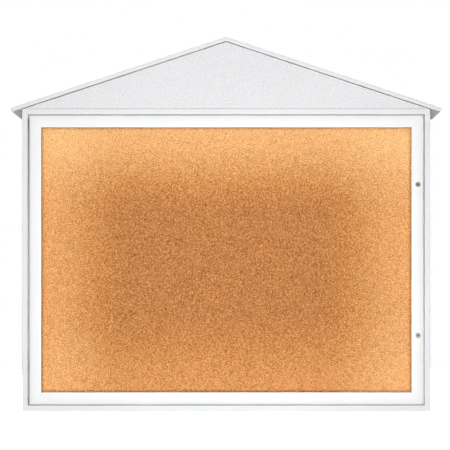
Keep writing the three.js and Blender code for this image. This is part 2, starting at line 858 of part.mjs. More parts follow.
function lockNut() {
  const corner = nut.acrossFlats / Math.sqrt(3);
  const corners = Array.from({ length: 6 }, (_, i) => [
    corner * Math.cos((i * Math.PI) / 3),
    corner * Math.sin((i * Math.PI) / 3),
  ]);
  const shape = outline(corners);
  const hole = new THREE.Path();
  hole.absarc(0, 0, lock.barrelRadius + clearance, 0, 2 * Math.PI, true);
  shape.holes.push(hole);
  const seat = doorBar.depth + clearance;
  return extrude(shape, nut.thickness, crownSegments).rotateX(Math.PI / 2).translate(0, seat + nut.thickness, 0);
}

function locks() {
  for (const [name, side] of [["upper", 1], ["lower", -1]]) {
    const group = new THREE.Group();
    group.position.set(lockX, 0, side * lock.height);
    door.add(group);
    place(group, `${name}_lock_body`, lockBody(), brassPlate());
    place(group, `${name}_lock_nut`, lockNut(), zincPlate());
    place(group, `${name}_lock_plug`, lockPlug(), brassPlate());
    place(group, `${name}_lock_cam`, lockCam(), zincPlate());
    place(group, `${name}_cam_screw`, lockCamScrew(), zincPlate());
  }
}

jambs();
rails();
endCaps();
frameScrews();
boardStack();
wallBrackets();
gablePanels();
roofPanels();
roofSupports();
seals();
strikes();
hingeParts();
doorFrame();
cornerKeys();
glazing();
locks();

export default noticeBoard;
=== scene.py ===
"""Looks for a lockable wall case for notices: a white gabled case, a cork board and a glazed door.

Everything is in metres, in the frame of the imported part. The front faces -Y, +Z is up and the wall is y = 0.
"""

import json
import logging
import math
from collections.abc import Callable, Iterable, Sequence
from dataclasses import dataclass
from enum import Enum
from typing import NamedTuple

import bmesh
import bpy
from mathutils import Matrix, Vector

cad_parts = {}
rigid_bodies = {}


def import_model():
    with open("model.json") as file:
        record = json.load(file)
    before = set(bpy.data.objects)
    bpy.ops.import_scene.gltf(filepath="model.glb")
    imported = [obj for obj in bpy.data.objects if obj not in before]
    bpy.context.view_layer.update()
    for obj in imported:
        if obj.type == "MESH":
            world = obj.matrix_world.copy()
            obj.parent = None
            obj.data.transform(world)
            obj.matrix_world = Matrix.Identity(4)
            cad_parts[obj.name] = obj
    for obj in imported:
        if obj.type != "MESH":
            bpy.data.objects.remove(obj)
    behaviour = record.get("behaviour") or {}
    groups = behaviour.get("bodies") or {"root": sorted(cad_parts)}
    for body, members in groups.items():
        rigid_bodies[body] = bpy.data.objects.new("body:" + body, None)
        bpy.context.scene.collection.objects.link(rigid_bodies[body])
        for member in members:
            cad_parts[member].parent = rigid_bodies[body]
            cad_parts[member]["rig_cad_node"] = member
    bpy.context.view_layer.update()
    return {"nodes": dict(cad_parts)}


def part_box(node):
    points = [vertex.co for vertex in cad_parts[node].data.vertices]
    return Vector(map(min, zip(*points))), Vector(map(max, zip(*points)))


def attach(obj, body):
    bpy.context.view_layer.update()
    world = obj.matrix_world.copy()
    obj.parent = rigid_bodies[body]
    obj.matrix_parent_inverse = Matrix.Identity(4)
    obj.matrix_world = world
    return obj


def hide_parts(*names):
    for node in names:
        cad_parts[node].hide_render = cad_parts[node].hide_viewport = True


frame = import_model()

log = logging.getLogger("notice_case")

Pair = tuple[float, float]
Triple = tuple[float, float, float]

RIGHT = Vector((1, 0, 0))
INTO = Vector((0, 1, 0))  # from the front towards the wall
UP = Vector((0, 0, 1))
SIDES = ("left", "right", "top", "bottom")
SQUARE = ((-1, -1), (1, -1), (1, 1), (-1, 1))

MIX_A, MIX_B, MIX_RESULT = 6, 7, 2  # the colour sockets of a Mix node
SEED_SIZE = 0.001
WELD = 1e-6  # how near each other vertices are merged
FACE_TOLERANCE = 1e-5  # how near a face's plane a vertex counts as part of it
PLANE_TOLERANCE = 1e-4  # how near a cutting plane a vertex counts as lying on it
TOOL_MARGIN = 0.001  # how far a cutting tool starts outside what it cuts


# Colour and nodes


def linear(colour: str) -> tuple[float, float, float, float]:
    """Turns an sRGB hex value to a linear colour.

    Args:
        colour: the value as "#RRGGBB".

    Returns:
        Red, green and blue as linear values, and an alpha of 1.
    """
    parts = [int(colour[i : i + 2], 16) / 255 for i in (1, 3, 5)]
    red, green, blue = (c / 12.92 if c <= 0.04045 else ((c + 0.055) / 1.055) ** 2.4 for c in parts)
    return red, green, blue, 1.0


def add_node(
    tree: bpy.types.NodeTree,
    kind: str,
    values: dict | None = None,
    links: dict | None = None,
    feeds: dict | None = None,
    stops: Sequence[tuple[float, str]] = (),
    **options: object,
) -> bpy.types.Node:
    """Adds a node with its settings and its links.

    Args:
        tree: the node tree it goes into.
        kind: the node's type name, without the "ShaderNode" that all of them start with.
        values: constants by input socket.
        links: output sockets of other nodes by the input socket that they feed.
        feeds: input sockets of other nodes by the output socket that feeds them.
        stops: places and sRGB hex values of a colour ramp.
        options: the node's own settings.

    Returns:
        The new node.
    """
    node = tree.nodes.new(f"ShaderNode{kind}")
    for name, value in options.items():
        setattr(node, name, value)
    for socket, value in (values or {}).items():
        node.inputs[socket].default_value = value
    for socket, source in (links or {}).items():
        tree.links.new(source, node.inputs[socket])
    for socket, target in (feeds or {}).items():
        tree.links.new(node.outputs[socket], target)
    for i, (position, colour) in enumerate(stops):
        ramp = node.color_ramp.elements
        stop = ramp[i] if i < len(ramp) else ramp.new(position)
        stop.position = position
        stop.color = linear(colour)
    return node


class Layout(NamedTuple):
    """A material while it is laid out: its nodes, its shader's sockets and the point a pattern is read at."""

    tree: bpy.types.NodeTree
    inputs: bpy.types.bpy_prop_collection
    place: bpy.types.NodeSocket


class Along(Enum):
    """The direction that a metal was drawn, rolled or brushed in, as a stretch of the pattern along it."""

    X = (0.02, 1.0, 1.0)
    Y = (1.0, 0.02, 1.0)
    Z = (1.0, 1.0, 0.02)


# Finishes


@dataclass(frozen=True)
class Finish:
    """A finish: its name, its sRGB colour and its roughness, and how uneven its gloss and its surface are."""

    name: str
    colour: str
    roughness: float
    wander: Pair = (0.08, 0.08)  # how far the roughness goes down and up
    relief: Pair = (0.3, 0.0001)  # how much of the relief shows, and its height

    @property
    def gloss(self) -> dict[str, float]:
        """The roughness at both ends of a pattern, by the sockets that set it."""
        return {"To Min": self.roughness - self.wander[0], "To Max": self.roughness + self.wander[1]}

    @property
    def raised(self) -> dict[str, float]:
        """The relief, by the sockets that set it."""
        return {"Strength": self.relief[0], "Distance": self.relief[1]}

    def material(self) -> bpy.types.Material:
        """Makes the finish a material, the first time it is asked for.

        Returns:
            The material.
        """
        known = bpy.data.materials.get(self.name)
        if known is not None:
            return known
        material = bpy.data.materials.new(self.name)
        material.use_nodes = True
        tree = material.node_tree
        inputs = tree.nodes["Principled BSDF"].inputs
        inputs["Base Color"].default_value = linear(self.colour)
        inputs["Roughness"].default_value = self.roughness
        self.dress(Layout(tree, inputs, add_node(tree, "TexCoord").outputs["Object"]))
        material.diffuse_color = linear(self.colour)
        return material

    def dress(self, layout: Layout) -> None:
        """Adds the finish's own pattern to its material."""
        raise NotImplementedError


@dataclass(frozen=True)
class PowderCoat(Finish):
    """Polyester powder coat, sprayed and baked: smooth and even, with a faint orange peel in its gloss."""

    shade: str = "#E6E8EA"
    specular: float = 0.3
    cloud: float = 0.16  # patches where the coat is a little thicker
    peel: float = 0.0024  # from one swell of the orange peel to the next
    wander: Pair = (0.05, 0.07)
    relief: Pair = (0.5, 0.00006)

    def dress(self, layout: Layout) -> None:
        """Adds faint patches to the colour and orange peel to the gloss.

        Args:
            layout: the material.
        """
        tree, inputs, place = layout
        inputs["Specular IOR Level"].default_value = self.specular
        patches = add_node(tree, "TexNoise", {"Scale": 1 / self.cloud, "Detail": 3.0}, {"Vector": place})
        thickness = patches.outputs["Fac"]
        stops = ((0.3, self.shade), (0.7, self.colour))
        add_node(tree, "ValToRGB", links={"Fac": thickness}, feeds={"Color": inputs["Base Color"]}, stops=stops)
        peel = add_node(tree, "TexNoise", {"Scale": 1 / self.peel, "Detail": 1.0}, {"Vector": place})
        add_node(tree, "MapRange", self.gloss, {"Value": thickness}, {"Result": inputs["Roughness"]})
        add_node(tree, "Bump", self.raised, {"Height": peel.outputs["Fac"]}, {"Normal": inputs["Normal"]})


@dataclass(frozen=True)
class StippleCoat(Finish):
    """Textured powder coat over the gable: fine raised grains that catch the light as a soft sparkle."""

    shade: str = "#D9DBE0"
    specular: float = 0.2
    grain: float = 0.0034
    finer: float = 2.2  # fine grains to a coarse one
    fine_share: float = 0.25
    relief: Pair = (0.6, 0.0004)

    def dress(self, layout: Layout) -> None:
        """Adds raised grains, with their valleys painted a little darker as painted shade.

        Args:
            layout: the material.
        """
        tree, inputs, place = layout
        inputs["Specular IOR Level"].default_value = self.specular
        coarse = add_node(tree, "TexNoise", {"Scale": 1 / self.grain, "Detail": 2.0}, {"Vector": place})
        fine = add_node(tree, "TexVoronoi", {"Scale": self.finer / self.grain}, {"Vector": place})
        both = {0: fine.outputs["Distance"], 2: coarse.outputs["Fac"]}
        grains = add_node(tree, "Math", {1: self.fine_share}, both, operation="MULTIPLY_ADD").outputs["Value"]
        # the grains' low places take the darker colour: painted shade in the valleys
        stops = ((0.45, self.shade), (0.75, self.colour))
        add_node(tree, "ValToRGB", links={"Fac": grains}, feeds={"Color": inputs["Base Color"]}, stops=stops)
        add_node(tree, "Bump", self.raised, {"Height": grains}, {"Normal": inputs["Normal"]})


@dataclass(frozen=True)
class DrawnMetal(Finish):
    """Bare metal as it leaves the die, the rolls or the brush: fine lines run along it."""

    along: Along = Along.X
    shade: str = "#8C8F93"
    line: float = 0.0006  # from one line to the next, drawn coarser than real so that it shows
    wander: Pair = (0.1, 0.12)
    relief: Pair = (0.3, 0.00003)

    def dress(self, layout: Layout) -> None:
        """Adds lines along the metal to its colour, gloss and surface.

        Args:
            layout: the material.
        """
        tree, inputs, place = layout
        inputs["Metallic"].default_value = 1.0
        stretched = add_node(tree, "Mapping", {"Scale": self.along.value}, {"Vector": place}).outputs["Vector"]
        values = {"Scale": 1 / self.line, "Detail": 4.0, "Roughness": 0.6}
        lines = add_node(tree, "TexNoise", values, {"Vector": stretched}).outputs["Fac"]
        stops = ((0.3, self.shade), (0.65, self.colour))
        add_node(tree, "ValToRGB", links={"Fac": lines}, feeds={"Color": inputs["Base Color"]}, stops=stops)
        add_node(tree, "MapRange", self.gloss, {"Value": lines}, {"Result": inputs["Roughness"]})
        add_node(tree, "Bump", self.raised, {"Height": lines}, {"Normal": inputs["Normal"]})


@dataclass(frozen=True)
class PlatedMetal(Finish):
    """Zinc or nickel plate over a pressed or turned part: a satin skin with a faint crystal bloom."""

    shade: str = "#86887F"
    bloom: float = 0.0022  # a crystal of the bloom
    cloud: float = 0.0055
    crystal_share: float = 0.3
    wander: Pair = (0.08, 0.12)
    relief: Pair = (0.2, 0.00004)

    def dress(self, layout: Layout) -> None:
        """Adds the bloom and a slightly uneven gloss.

        Args:
            layout: the material.
        """
        tree, inputs, place = layout
        inputs["Metallic"].default_value = 1.0
        crystals = add_node(tree, "TexVoronoi", {"Scale": 1 / self.bloom}, {"Vector": place})
        clouds = add_node(tree, "TexNoise", {"Scale": 1 / self.cloud, "Detail": 5.0}, {"Vector": place})
        cloud = clouds.outputs["Fac"]
        both = {0: crystals.outputs["Distance"], 2: cloud}
        bloom = add_node(tree, "Math", {1: self.crystal_share}, both, operation="MULTIPLY_ADD").outputs["Value"]
        stops = ((0.35, self.shade), (0.8, self.colour))
        add_node(tree, "ValToRGB", links={"Fac": bloom}, feeds={"Color": inputs["Base Color"]}, stops=stops)
        add_node(tree, "MapRange", self.gloss, {"Value": cloud}, {"Result": inputs["Roughness"]})
        add_node(tree, "Bump", self.raised, {"Height": cloud}, {"Normal": inputs["Normal"]})


@dataclass(frozen=True)
class Elastomer(Finish):
    """Extruded rubber or foam: matt, with a dusty bloom and a slightly dragged skin."""

    shade: str = "#3C3D40"
    bloom: float = 0.032  # a patch of the bloom
    skin: float = 0.0016
    relief: Pair = (0.35, 0.00008)

    def dress(self, layout: Layout) -> None:
        """Adds the bloom and the dragged skin.

        Args:
            layout: the material.
        """
        tree, inputs, place = layout
        patches = add_node(tree, "TexNoise", {"Scale": 1 / self.bloom, "Detail": 6.0}, {"Vector": place})
        bloom = patches.outputs["Fac"]
        skin = add_node(tree, "TexNoise", {"Scale": 1 / self.skin, "Detail": 2.0}, {"Vector": place})
        stops = ((0.4, self.colour), (0.8, self.shade))
        add_node(tree, "ValToRGB", links={"Fac": bloom}, feeds={"Color": inputs["Base Color"]}, stops=stops)
        add_node(tree, "Bump", self.raised, {"Height": skin.outputs["Fac"]}, {"Normal": inputs["Normal"]})


@dataclass(frozen=True)
class MouldedNylon(Finish):
    """Injection moulded nylon: a spark-eroded matt skin that lets a little light in."""

    erosion: float = 0.0007
    milkiness: float = 0.15
    depth: float = 0.001  # that the light gets in
    relief: Pair = (0.3, 0.00005)

    def dress(self, layout: Layout) -> None:
        """Adds the eroded skin.

        Args:
            layout: the material.
        """
        tree, inputs, place = layout
        inputs["Subsurface Weight"].default_value = self.milkiness
        inputs["Subsurface Radius"].default_value = (self.depth, self.depth, self.depth)
        eroded = add_node(tree, "TexNoise", {"Scale": 1 / self.erosion, "Detail": 2.0}, {"Vector": place})
        skin = eroded.outputs["Fac"]
        add_node(tree, "MapRange", self.gloss, {"Value": skin}, {"Result": inputs["Roughness"]})
        add_node(tree, "Bump", self.raised, {"Height": skin}, {"Normal": inputs["Normal"]})


@dataclass(frozen=True)
class Hardboard(Finish):
    """Pressed wood fibre: brown, matted short fibres, a little darker where they bunch."""

    shade: str = "#54391F"
    bunch: float = 0.010
    fibre: float = 0.0012
    fibre_share: float = 0.5
    relief: Pair = (0.5, 0.0001)

    def dress(self, layout: Layout) -> None:
        """Adds the matted fibres.

        Args:
            layout: the material.
        """
        tree, inputs, place = layout
        patches = {"Scale": 1 / self.bunch, "Detail": 4.0, "Distortion": 1.5}
        bunches = add_node(tree, "TexNoise", patches, {"Vector": place}).outputs["Fac"]
        strands = {"Scale": 1 / self.fibre, "Detail": 3.0, "Distortion": 3.0}
        fibres = add_node(tree, "TexNoise", strands, {"Vector": place}).outputs["Fac"]
        both = {0: fibres, 2: bunches}
        matted = add_node(tree, "Math", {1: self.fibre_share}, both, operation="MULTIPLY_ADD").outputs["Value"]
        stops = ((0.5, self.shade), (0.95, self.colour))
        add_node(tree, "ValToRGB", links={"Fac": matted}, feeds={"Color": inputs["Base Color"]}, stops=stops)
        add_node(tree, "Bump", self.raised, {"Height": fibres}, {"Normal": inputs["Normal"]})


@dataclass(frozen=True)
class ClearSheet(Finish):
    """Cast acrylic with a non-glare face: clear, with a very faint veil."""

    alpha: float = 0.02
    refraction: float = 1.49
    marks: float = 35.0  # handling marks to a metre
    wander: Pair = (0.25, 0.5)

    def dress(self, layout: Layout) -> None:
        """Adds the veil's transparency and the handling marks in the face.

        Args:
            layout: the material.
        """
        tree, inputs, place = layout
        inputs["Alpha"].default_value = self.alpha
        inputs["IOR"].default_value = self.refraction
        marks = add_node(tree, "TexNoise", {"Scale": self.marks, "Detail": 6.0}, {"Vector": place})
        add_node(tree, "MapRange", self.gloss, {"Value": marks.outputs["Fac"]}, {"Result": inputs["Roughness"]})


@dataclass(frozen=True)
class PaintedGlow:
    """Painted light on the cork: how far it reaches in from one edge of the window, and how strongly."""

    axis: str
    edge: float
    reach: float
    weight: float


@dataclass(frozen=True)
class GranulatedCork(Finish):
    """Composition cork: ground bark bound in sheets, its granules every brown from honey to bark.

    Its colour is painted lighter towards the edges of the window, most along the top: painted light.
    """

    specular: float = 0.15
    granule: float = 0.0014
    crumb: float = 0.0008
    crumb_share: float = 0.25
    mottle: float = 0.035
    mottling: float = 0.05
    spread: Triple = (1.0, 0.6, 0.307)  # of the browns, in red, green and blue
    rounding: float = -0.6  # how much lower a granule's rim lies than its middle
    relief: Pair = (0.35, 0.0003)
    # painted light: lighter ground colours, and how far each spreads in from an edge of the window
    painted_light_stops: tuple[tuple[float, str], ...] = ()
    painted_glows: tuple[PaintedGlow, ...] = ()

    def dress(self, layout: Layout) -> None:
        """Adds the granules over a ground colour that is painted lighter towards the edges: painted light.

        Args:
            layout: the material.
        """
        tree, inputs, place = layout
        inputs["Specular IOR Level"].default_value = self.specular
        # the ground colour is painted lighter towards the window's edges: painted light
        stops = [(0.0, self.colour), *self.painted_light_stops]
        ground = add_node(tree, "ValToRGB", links={"Fac": self.painted_glow_level(layout)}, stops=stops)
        granules = add_node(tree, "TexVoronoi", {"Scale": 1 / self.granule}, {"Vector": place})
        crumbs = add_node(tree, "TexVoronoi", {"Scale": 1 / self.crumb}, {"Vector": place})
        mottling = add_node(tree, "TexNoise", {"Scale": 1 / self.mottle, "Detail": 3.0}, {"Vector": place})
        colours = {MIX_A: granules.outputs["Color"], MIX_B: crumbs.outputs["Color"]}
        mixed = add_node(tree, "Mix", {"Factor": self.crumb_share}, colours, data_type="RGBA")
        tones = add_node(tree, "SeparateColor", links={"Color": mixed.outputs[MIX_RESULT]})
        both = {0: mottling.outputs["Fac"], 2: tones.outputs["Red"]}
        lifted = add_node(tree, "Math", {1: self.mottling}, both, operation="MULTIPLY_ADD").outputs["Value"]
        mean = (1 + self.mottling) / 2
        centred = add_node(tree, "Math", {1: mean}, {0: lifted}, operation="SUBTRACT").outputs["Value"]
        add_node(
            tree,
            "VectorMath",
            {1: self.spread},
            {0: centred, 2: ground.outputs["Color"]},
            {"Vector": inputs["Base Color"]},
            operation="MULTIPLY_ADD",
        )
        heights = {0: granules.outputs["Distance"], 2: tones.outputs["Green"]}
        rough = add_node(tree, "Math", {1: self.rounding}, heights, operation="MULTIPLY_ADD").outputs["Value"]
        add_node(tree, "Bump", self.raised, {"Height": rough}, {"Normal": inputs["Normal"]})

    def painted_glow_level(self, layout: Layout) -> bpy.types.NodeSocket:
        """Works out how much painted light the cork gets, from 0 in the middle towards 1 where the painted light
        from the edges meets.

        Args:
            layout: the cork's material.

        Returns:
            How much painted light the cork gets.
        """
        tree = layout.tree
        apart = add_node(tree, "SeparateXYZ", links={"Vector": layout.place})
        kept = None
        for edge_glow in self.painted_glows:
            ends = {"From Min": edge_glow.edge, "From Max": edge_glow.edge + edge_glow.reach}
            levels = {"To Min": 1 - edge_glow.weight, "To Max": 1.0}
            source = {"Value": apart.outputs[edge_glow.axis]}
            eased = add_node(tree, "MapRange", ends | levels, source, interpolation_type="SMOOTHSTEP")
            left = eased.outputs["Result"]
            if kept is not None:
                left = add_node(tree, "Math", links={0: kept, 1: left}, operation="MULTIPLY").outputs["Value"]
            kept = left
        return add_node(tree, "Math", {0: 1.0}, {1: kept}, operation="SUBTRACT").outputs["Value"]


# one white powder coat in two tones: the door's copy is lighter and the case's darker, as painted light and
# shade
CASE_COAT = PowderCoat("white_powder_coat", "#DFE0E1", 0.46, shade="#DBDCDE")
DOOR_PAINTED_LIGHT_COAT = PowderCoat("bright_white_powder_coat", "#ECECEC", 0.42, shade="#E8E9E9")
GABLE_COAT = StippleCoat("stippled_powder_coat", "#E4E4E5", 0.62, shade="#CFCFD2")
ROLLED_ALUMINIUM = DrawnMetal("mill_rolled_aluminium", "#BFC2C6", 0.55, along=Along.X)
BAR_ALUMINIUM = DrawnMetal("folded_bar_aluminium", "#D6D8DA", 0.4, along=Along.X, shade="#A9ACAF")
FOLDED_ALUMINIUM = DrawnMetal("mill_folded_aluminium", "#C3C6CA", 0.42, along=Along.Y)
HINGE_STEEL = DrawnMetal("brushed_stainless_steel", "#A5A5A2", 0.4, along=Along.Z, shade="#7E7E79")
SCREW_STEEL = PlatedMetal("turned_stainless_steel", "#BDBCB8", 0.3, shade="#8E8D88")
ZINC = PlatedMetal("bright_zinc_plate", "#C2C3BE", 0.38)
LOCK_NICKEL = PlatedMetal("aged_nickel_plate", "#98947C", 0.38, shade="#6A6652")
# near-black steel for the wards, so that the key slots look dark: painted shade
WARD_SHADE_STEEL = PlatedMetal("near_black_ward_steel_painted_shade", "#2B2A26", 0.6, shade="#1C1B18")
SEAL_RUBBER = Elastomer("black_seal_rubber", "#1F2022", 0.82)
GASKET_RUBBER = Elastomer("grey_glazing_rubber", "#6F6A63", 0.78, shade="#8B867E")
# grey foam strip under the fascia, so that it reads as the dark line there: painted shade
SHADE_STRIP_FOAM = Elastomer("grey_painted_shade_foam", "#9C9D9E", 0.85)
CAP_NYLON = MouldedNylon("natural_nylon", "#DFE0E2", 0.5)
BACKER_BOARD = Hardboard("pressed_hardboard", "#8A6643", 0.85)
PANE_ACRYLIC = ClearSheet("non_glare_clear_acrylic", "#2E3233", 0.5)
CORK = GranulatedCork(
    "granulated_cork",
    "#BE7D43",
    0.9,
    # painted light: lighter towards each edge of the window, most along the top
    painted_light_stops=((0.20, "#D08E50"), (0.47, "#E3A468"), (0.65, "#F0B477"), (0.81, "#FBC588"), (0.94, "#FFCC8F")),
    painted_glows=(
        PaintedGlow("X", -0.550, 0.267, 0.50),
        PaintedGlow("X", 0.549, -0.288, 0.517),
        PaintedGlow("Z", 0.068, -0.264, 0.70),
        PaintedGlow("Z", -0.720, 0.255, 0.30),
    ),
)


# Modelling steps


class Workbench:
    """Modelling steps made with Blender's own operators, one piece at a time."""

    @staticmethod
    def clear() -> None:
        """Leaves edit mode and deselects everything."""
        if bpy.context.object is not None and bpy.context.object.mode != "OBJECT":
            bpy.ops.object.mode_set(mode="OBJECT")
        bpy.ops.object.select_all(action="DESELECT")

    @staticmethod
    def take(piece: bpy.types.Object) -> None:
        """Selects a piece alone and makes it the active one.

        Args:
            piece: the piece.
        """
        Workbench.clear()
        piece.select_set(True)
        bpy.context.view_layer.objects.active = piece

    @staticmethod
    def label(name: str) -> bpy.types.Object:
        """Names the active piece and its mesh.

        Args:
            name: the name.

        Returns:
            The piece.
        """
        piece = bpy.context.object
        piece.name = name
        piece.data.name = name
        return piece

    @staticmethod
    def open(piece: bpy.types.Object, kind: str = "VERT") -> None:
        """Selects a piece alone and opens it in edit mode, all of it selected.

        Args:
            piece: the piece.
            kind: what is selected in edit mode: VERT, EDGE or FACE.
        """
        Workbench.take(piece)
        bpy.ops.object.mode_set(mode="EDIT")
        bpy.ops.mesh.select_mode(type=kind)
        bpy.ops.mesh.select_all(action="SELECT")

    @staticmethod
    def close() -> None:
        """Turns the open piece's faces outwards and leaves edit mode."""
        bpy.ops.mesh.select_all(action="SELECT")
        bpy.ops.mesh.normals_make_consistent(inside=False)
        bpy.ops.object.mode_set(mode="OBJECT")

    @staticmethod
    def extrude(run: Vector) -> None:
        """Extrudes what is selected in the open piece."""
        bpy.ops.mesh.extrude_region_move(TRANSFORM_OT_translate={"value": run})

    @staticmethod
    def pick(piece: bpy.types.Object, wanted: Callable[[bmesh.types.BMFace], bool]) -> None:
        """Selects the faces of the open piece that answer a test.

        Args:
            piece: the piece, open in edit mode.
            wanted: says of a face whether it is selected.
        """
        bpy.ops.mesh.select_mode(type="FACE")
        bpy.ops.mesh.select_all(action="DESELECT")
        faces = bmesh.from_edit_mesh(piece.data)
        for face in faces.faces:
            face.select_set(wanted(face))
        bmesh.update_edit_mesh(piece.data)

    @staticmethod
    def trace(name: str, line: Sequence[Vector]) -> bpy.types.Object:
        """Draws a line of edges from point to point and leaves it open in edit mode.

        Args:
            name: the piece's name.
            line: the points.

        Returns:
            The piece.
        """
        Workbench.clear()
        bpy.ops.mesh.primitive_plane_add(size=SEED_SIZE)
        piece = Workbench.label(name)
        bpy.ops.object.mode_set(mode="EDIT")
        bpy.ops.mesh.select_mode(type="VERT")
        bpy.ops.mesh.merge(type="CENTER")
        bpy.ops.transform.translate(value=line[0])
        for start, end in zip(line, line[1:]):
            Workbench.extrude(end - start)
        return piece

    @staticmethod
    def bar(name: str, outline: Sequence[Vector], run: Vector) -> bpy.types.Object:
        """Makes a closed bar: a filled outline, extruded.

        Args:
            name: the piece's name.
            outline: the points round the section.
            run: from one end of the bar to the other.

        Returns:
            The piece.
        """
        piece = Workbench.trace(name, outline)
        bpy.ops.mesh.select_all(action="SELECT")
        bpy.ops.mesh.edge_face_add()
        Workbench.extrude(run)
        Workbench.close()
        return piece

    @staticmethod
    def peg(name: str, foot: Vector, half: Pair, start: float, length: float) -> bpy.types.Object:
        """Makes a rectangular peg towards the wall, from half its width and height and a start past its foot."""
        corners = [foot + Vector((half[0] * a, start, half[1] * b)) for a, b in SQUARE]
        return Workbench.bar(name, corners, INTO * length)

    @staticmethod
    def turn(
        name: str, profile: Sequence[Pair], foot: Vector, axis: Vector = INTO, steps: int = 48
    ) -> bpy.types.Object:
        """Turns a profile round an axis.

        Args:
            name: the piece's name.
            profile: pairs of a radius and a distance along the axis.
            foot: the point on the axis that distances are counted from.
            axis: the axis, a unit vector.
            steps: the number of faces round the piece.

        Returns:
            The piece.
        """
        out = axis.orthogonal().normalized()
        piece = Workbench.trace(name, [foot + out * radius + axis * height for radius, height in profile])
        bpy.ops.mesh.select_all(action="SELECT")
        bpy.ops.mesh.spin(steps=steps, angle=2 * math.pi, center=foot, axis=axis, use_auto_merge=True)
        bpy.ops.mesh.select_all(action="SELECT")
        bpy.ops.mesh.remove_doubles(threshold=WELD)
        Workbench.close()
        return piece

    @staticmethod
    def slice(
        piece: bpy.types.Object,
        cuts: Iterable[tuple[Vector, Vector]],
        fill: bool = True,
        threshold: float = PLANE_TOLERANCE,
    ) -> None:
        """Cuts away what lies beyond each plane.

        Args:
            piece: the piece.
            cuts: each plane as a point on it and the direction that is cut away.
            fill: whether the cut is closed with a face.
            threshold: how near a plane a vertex counts as lying on it.
        """
        Workbench.open(piece)
        for point, beyond in cuts:
            bpy.ops.mesh.select_all(action="SELECT")
            bpy.ops.mesh.bisect(
                plane_co=point, plane_no=beyond, use_fill=fill, clear_outer=True, threshold=threshold
            )
        Workbench.close()

    @staticmethod
    def finish(piece: bpy.types.Object, kind: str, **settings: object) -> None:
        """Adds a modifier to a piece and applies it.

        Args:
            piece: the piece.
            kind: the modifier's type name.
            settings: the modifier's settings.
        """
        Workbench.take(piece)
        modifier = piece.modifiers.new(kind.lower(), kind)
        for name, value in settings.items():
            setattr(modifier, name, value)
        bpy.ops.object.modifier_apply(modifier=modifier.name)

    @staticmethod
    def soften(piece: bpy.types.Object, radius: float, segments: int = 2, angle: float = 40) -> None:
        """Rounds the edges that are sharper than an angle in degrees."""
        limit = {"limit_method": "ANGLE", "angle_limit": math.radians(angle), "use_clamp_overlap": True}
        Workbench.finish(piece, "BEVEL", width=radius, segments=segments, **limit)

    @staticmethod
    def combine(piece: bpy.types.Object, tool: bpy.types.Object, how: str = "DIFFERENCE") -> None:
        """Cuts a piece with a tool, or joins them, and throws the tool away."""
        Workbench.finish(piece, "BOOLEAN", object=tool, operation=how, solver="EXACT")
        bpy.data.objects.remove(tool)

    @staticmethod
    def shade(piece: bpy.types.Object, angle: float = 35) -> None:
        """Shades a piece smooth, apart from the edges sharper than an angle in degrees."""
        Workbench.take(piece)
        bpy.ops.object.shade_smooth_by_angle(angle=math.radians(angle))

    @staticmethod
    def copy(
        piece: bpy.types.Object, name: str, shift: Vector | None = None, flip: bool = False
    ) -> bpy.types.Object:
        """Copies a piece with a mesh of its own.

        Args:
            piece: the piece.
            name: the copy's name.
            shift: how far the copy moves.
            flip: whether the copy is mirrored left to right.

        Returns:
            The copy.
        """
        Workbench.take(piece)
        bpy.ops.object.duplicate(linked=False)
        twin = Workbench.label(name)
        Workbench.open(twin)
        if flip:
            bpy.ops.transform.resize(value=(-1, 1, 1), center_override=(0, 0, 0))
        if shift is not None:
            bpy.ops.transform.translate(value=shift)
        Workbench.close()
        return twin

    @staticmethod
    def from_node(node: str, name: str) -> bpy.types.Object:
        """Copies a CAD node as a piece of its own, its loose triangles merged.

        Args:
            node: the CAD node.
            name: the copy's name.

        Returns:
            The copy.
        """
        piece = Workbench.copy(frame["nodes"][node], name)
        bpy.ops.object.parent_clear(type="CLEAR_KEEP_TRANSFORM")
        del piece["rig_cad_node"]
        Workbench.open(piece)
        bpy.ops.mesh.remove_doubles(threshold=WELD)
        Workbench.close()
        return piece

    @staticmethod
    def cross_recess(piece: bpy.types.Object, foot: Vector, inward: Vector, size: Triple) -> None:
        """Cuts a cross recess into the head of a screw.

        Args:
            piece: the screw.
            foot: the middle of its head's face.
            inward: from the face into the screw, a unit vector.
            size: across the cross, across one of its slots, and how deep it goes.
        """
        length, width, depth = size
        side = inward.orthogonal().normalized()
        other = inward.cross(side)
        start = foot - inward * TOOL_MARGIN
        for a, b in ((side, other), (other, side)):
            corners = [start + a * length / 2 * i + b * width / 2 * j for i, j in SQUARE]
            Workbench.combine(piece, Workbench.bar("recess", corners, inward * (depth + TOOL_MARGIN)))

    @staticmethod
    def grid(name: str, low: Vector, high: Vector, spacing: float) -> bpy.types.Object:
        """Makes an upright sheet of squares that faces the front, at the depth of `low`.

        Args:
            name: the piece's name.
            low: its lowest corner.
            high: its highest corner.
            spacing: the side of a square.

        Returns:
            The piece.
        """
        Workbench.clear()
        size = high - low
        middle = (low + high) / 2
        bpy.ops.mesh.primitive_grid_add(
            x_subdivisions=round(size.x / spacing),
            y_subdivisions=round(size.z / spacing),
            size=1,
            location=(middle.x, low.y, middle.z),
            rotation=(math.pi / 2, 0, 0),
        )
        piece = Workbench.label(name)
        piece.scale = (size.x, size.z, 1)
        bpy.ops.object.transform_apply(location=True, rotation=True, scale=True)
        return piece

    @staticmethod
    def thicken(piece: bpy.types.Object, depth: float) -> None:
        """Closes an open sheet to a slab: its rim is extruded and the back filled with one face.

        Args:
            piece: the sheet.
            depth: how thick the slab gets, towards the wall.
        """
        Workbench.open(piece, "FACE")
        bpy.ops.mesh.region_to_loop()
        Workbench.extrude(INTO * depth)
        bpy.ops.mesh.edge_face_add()
        Workbench.close()

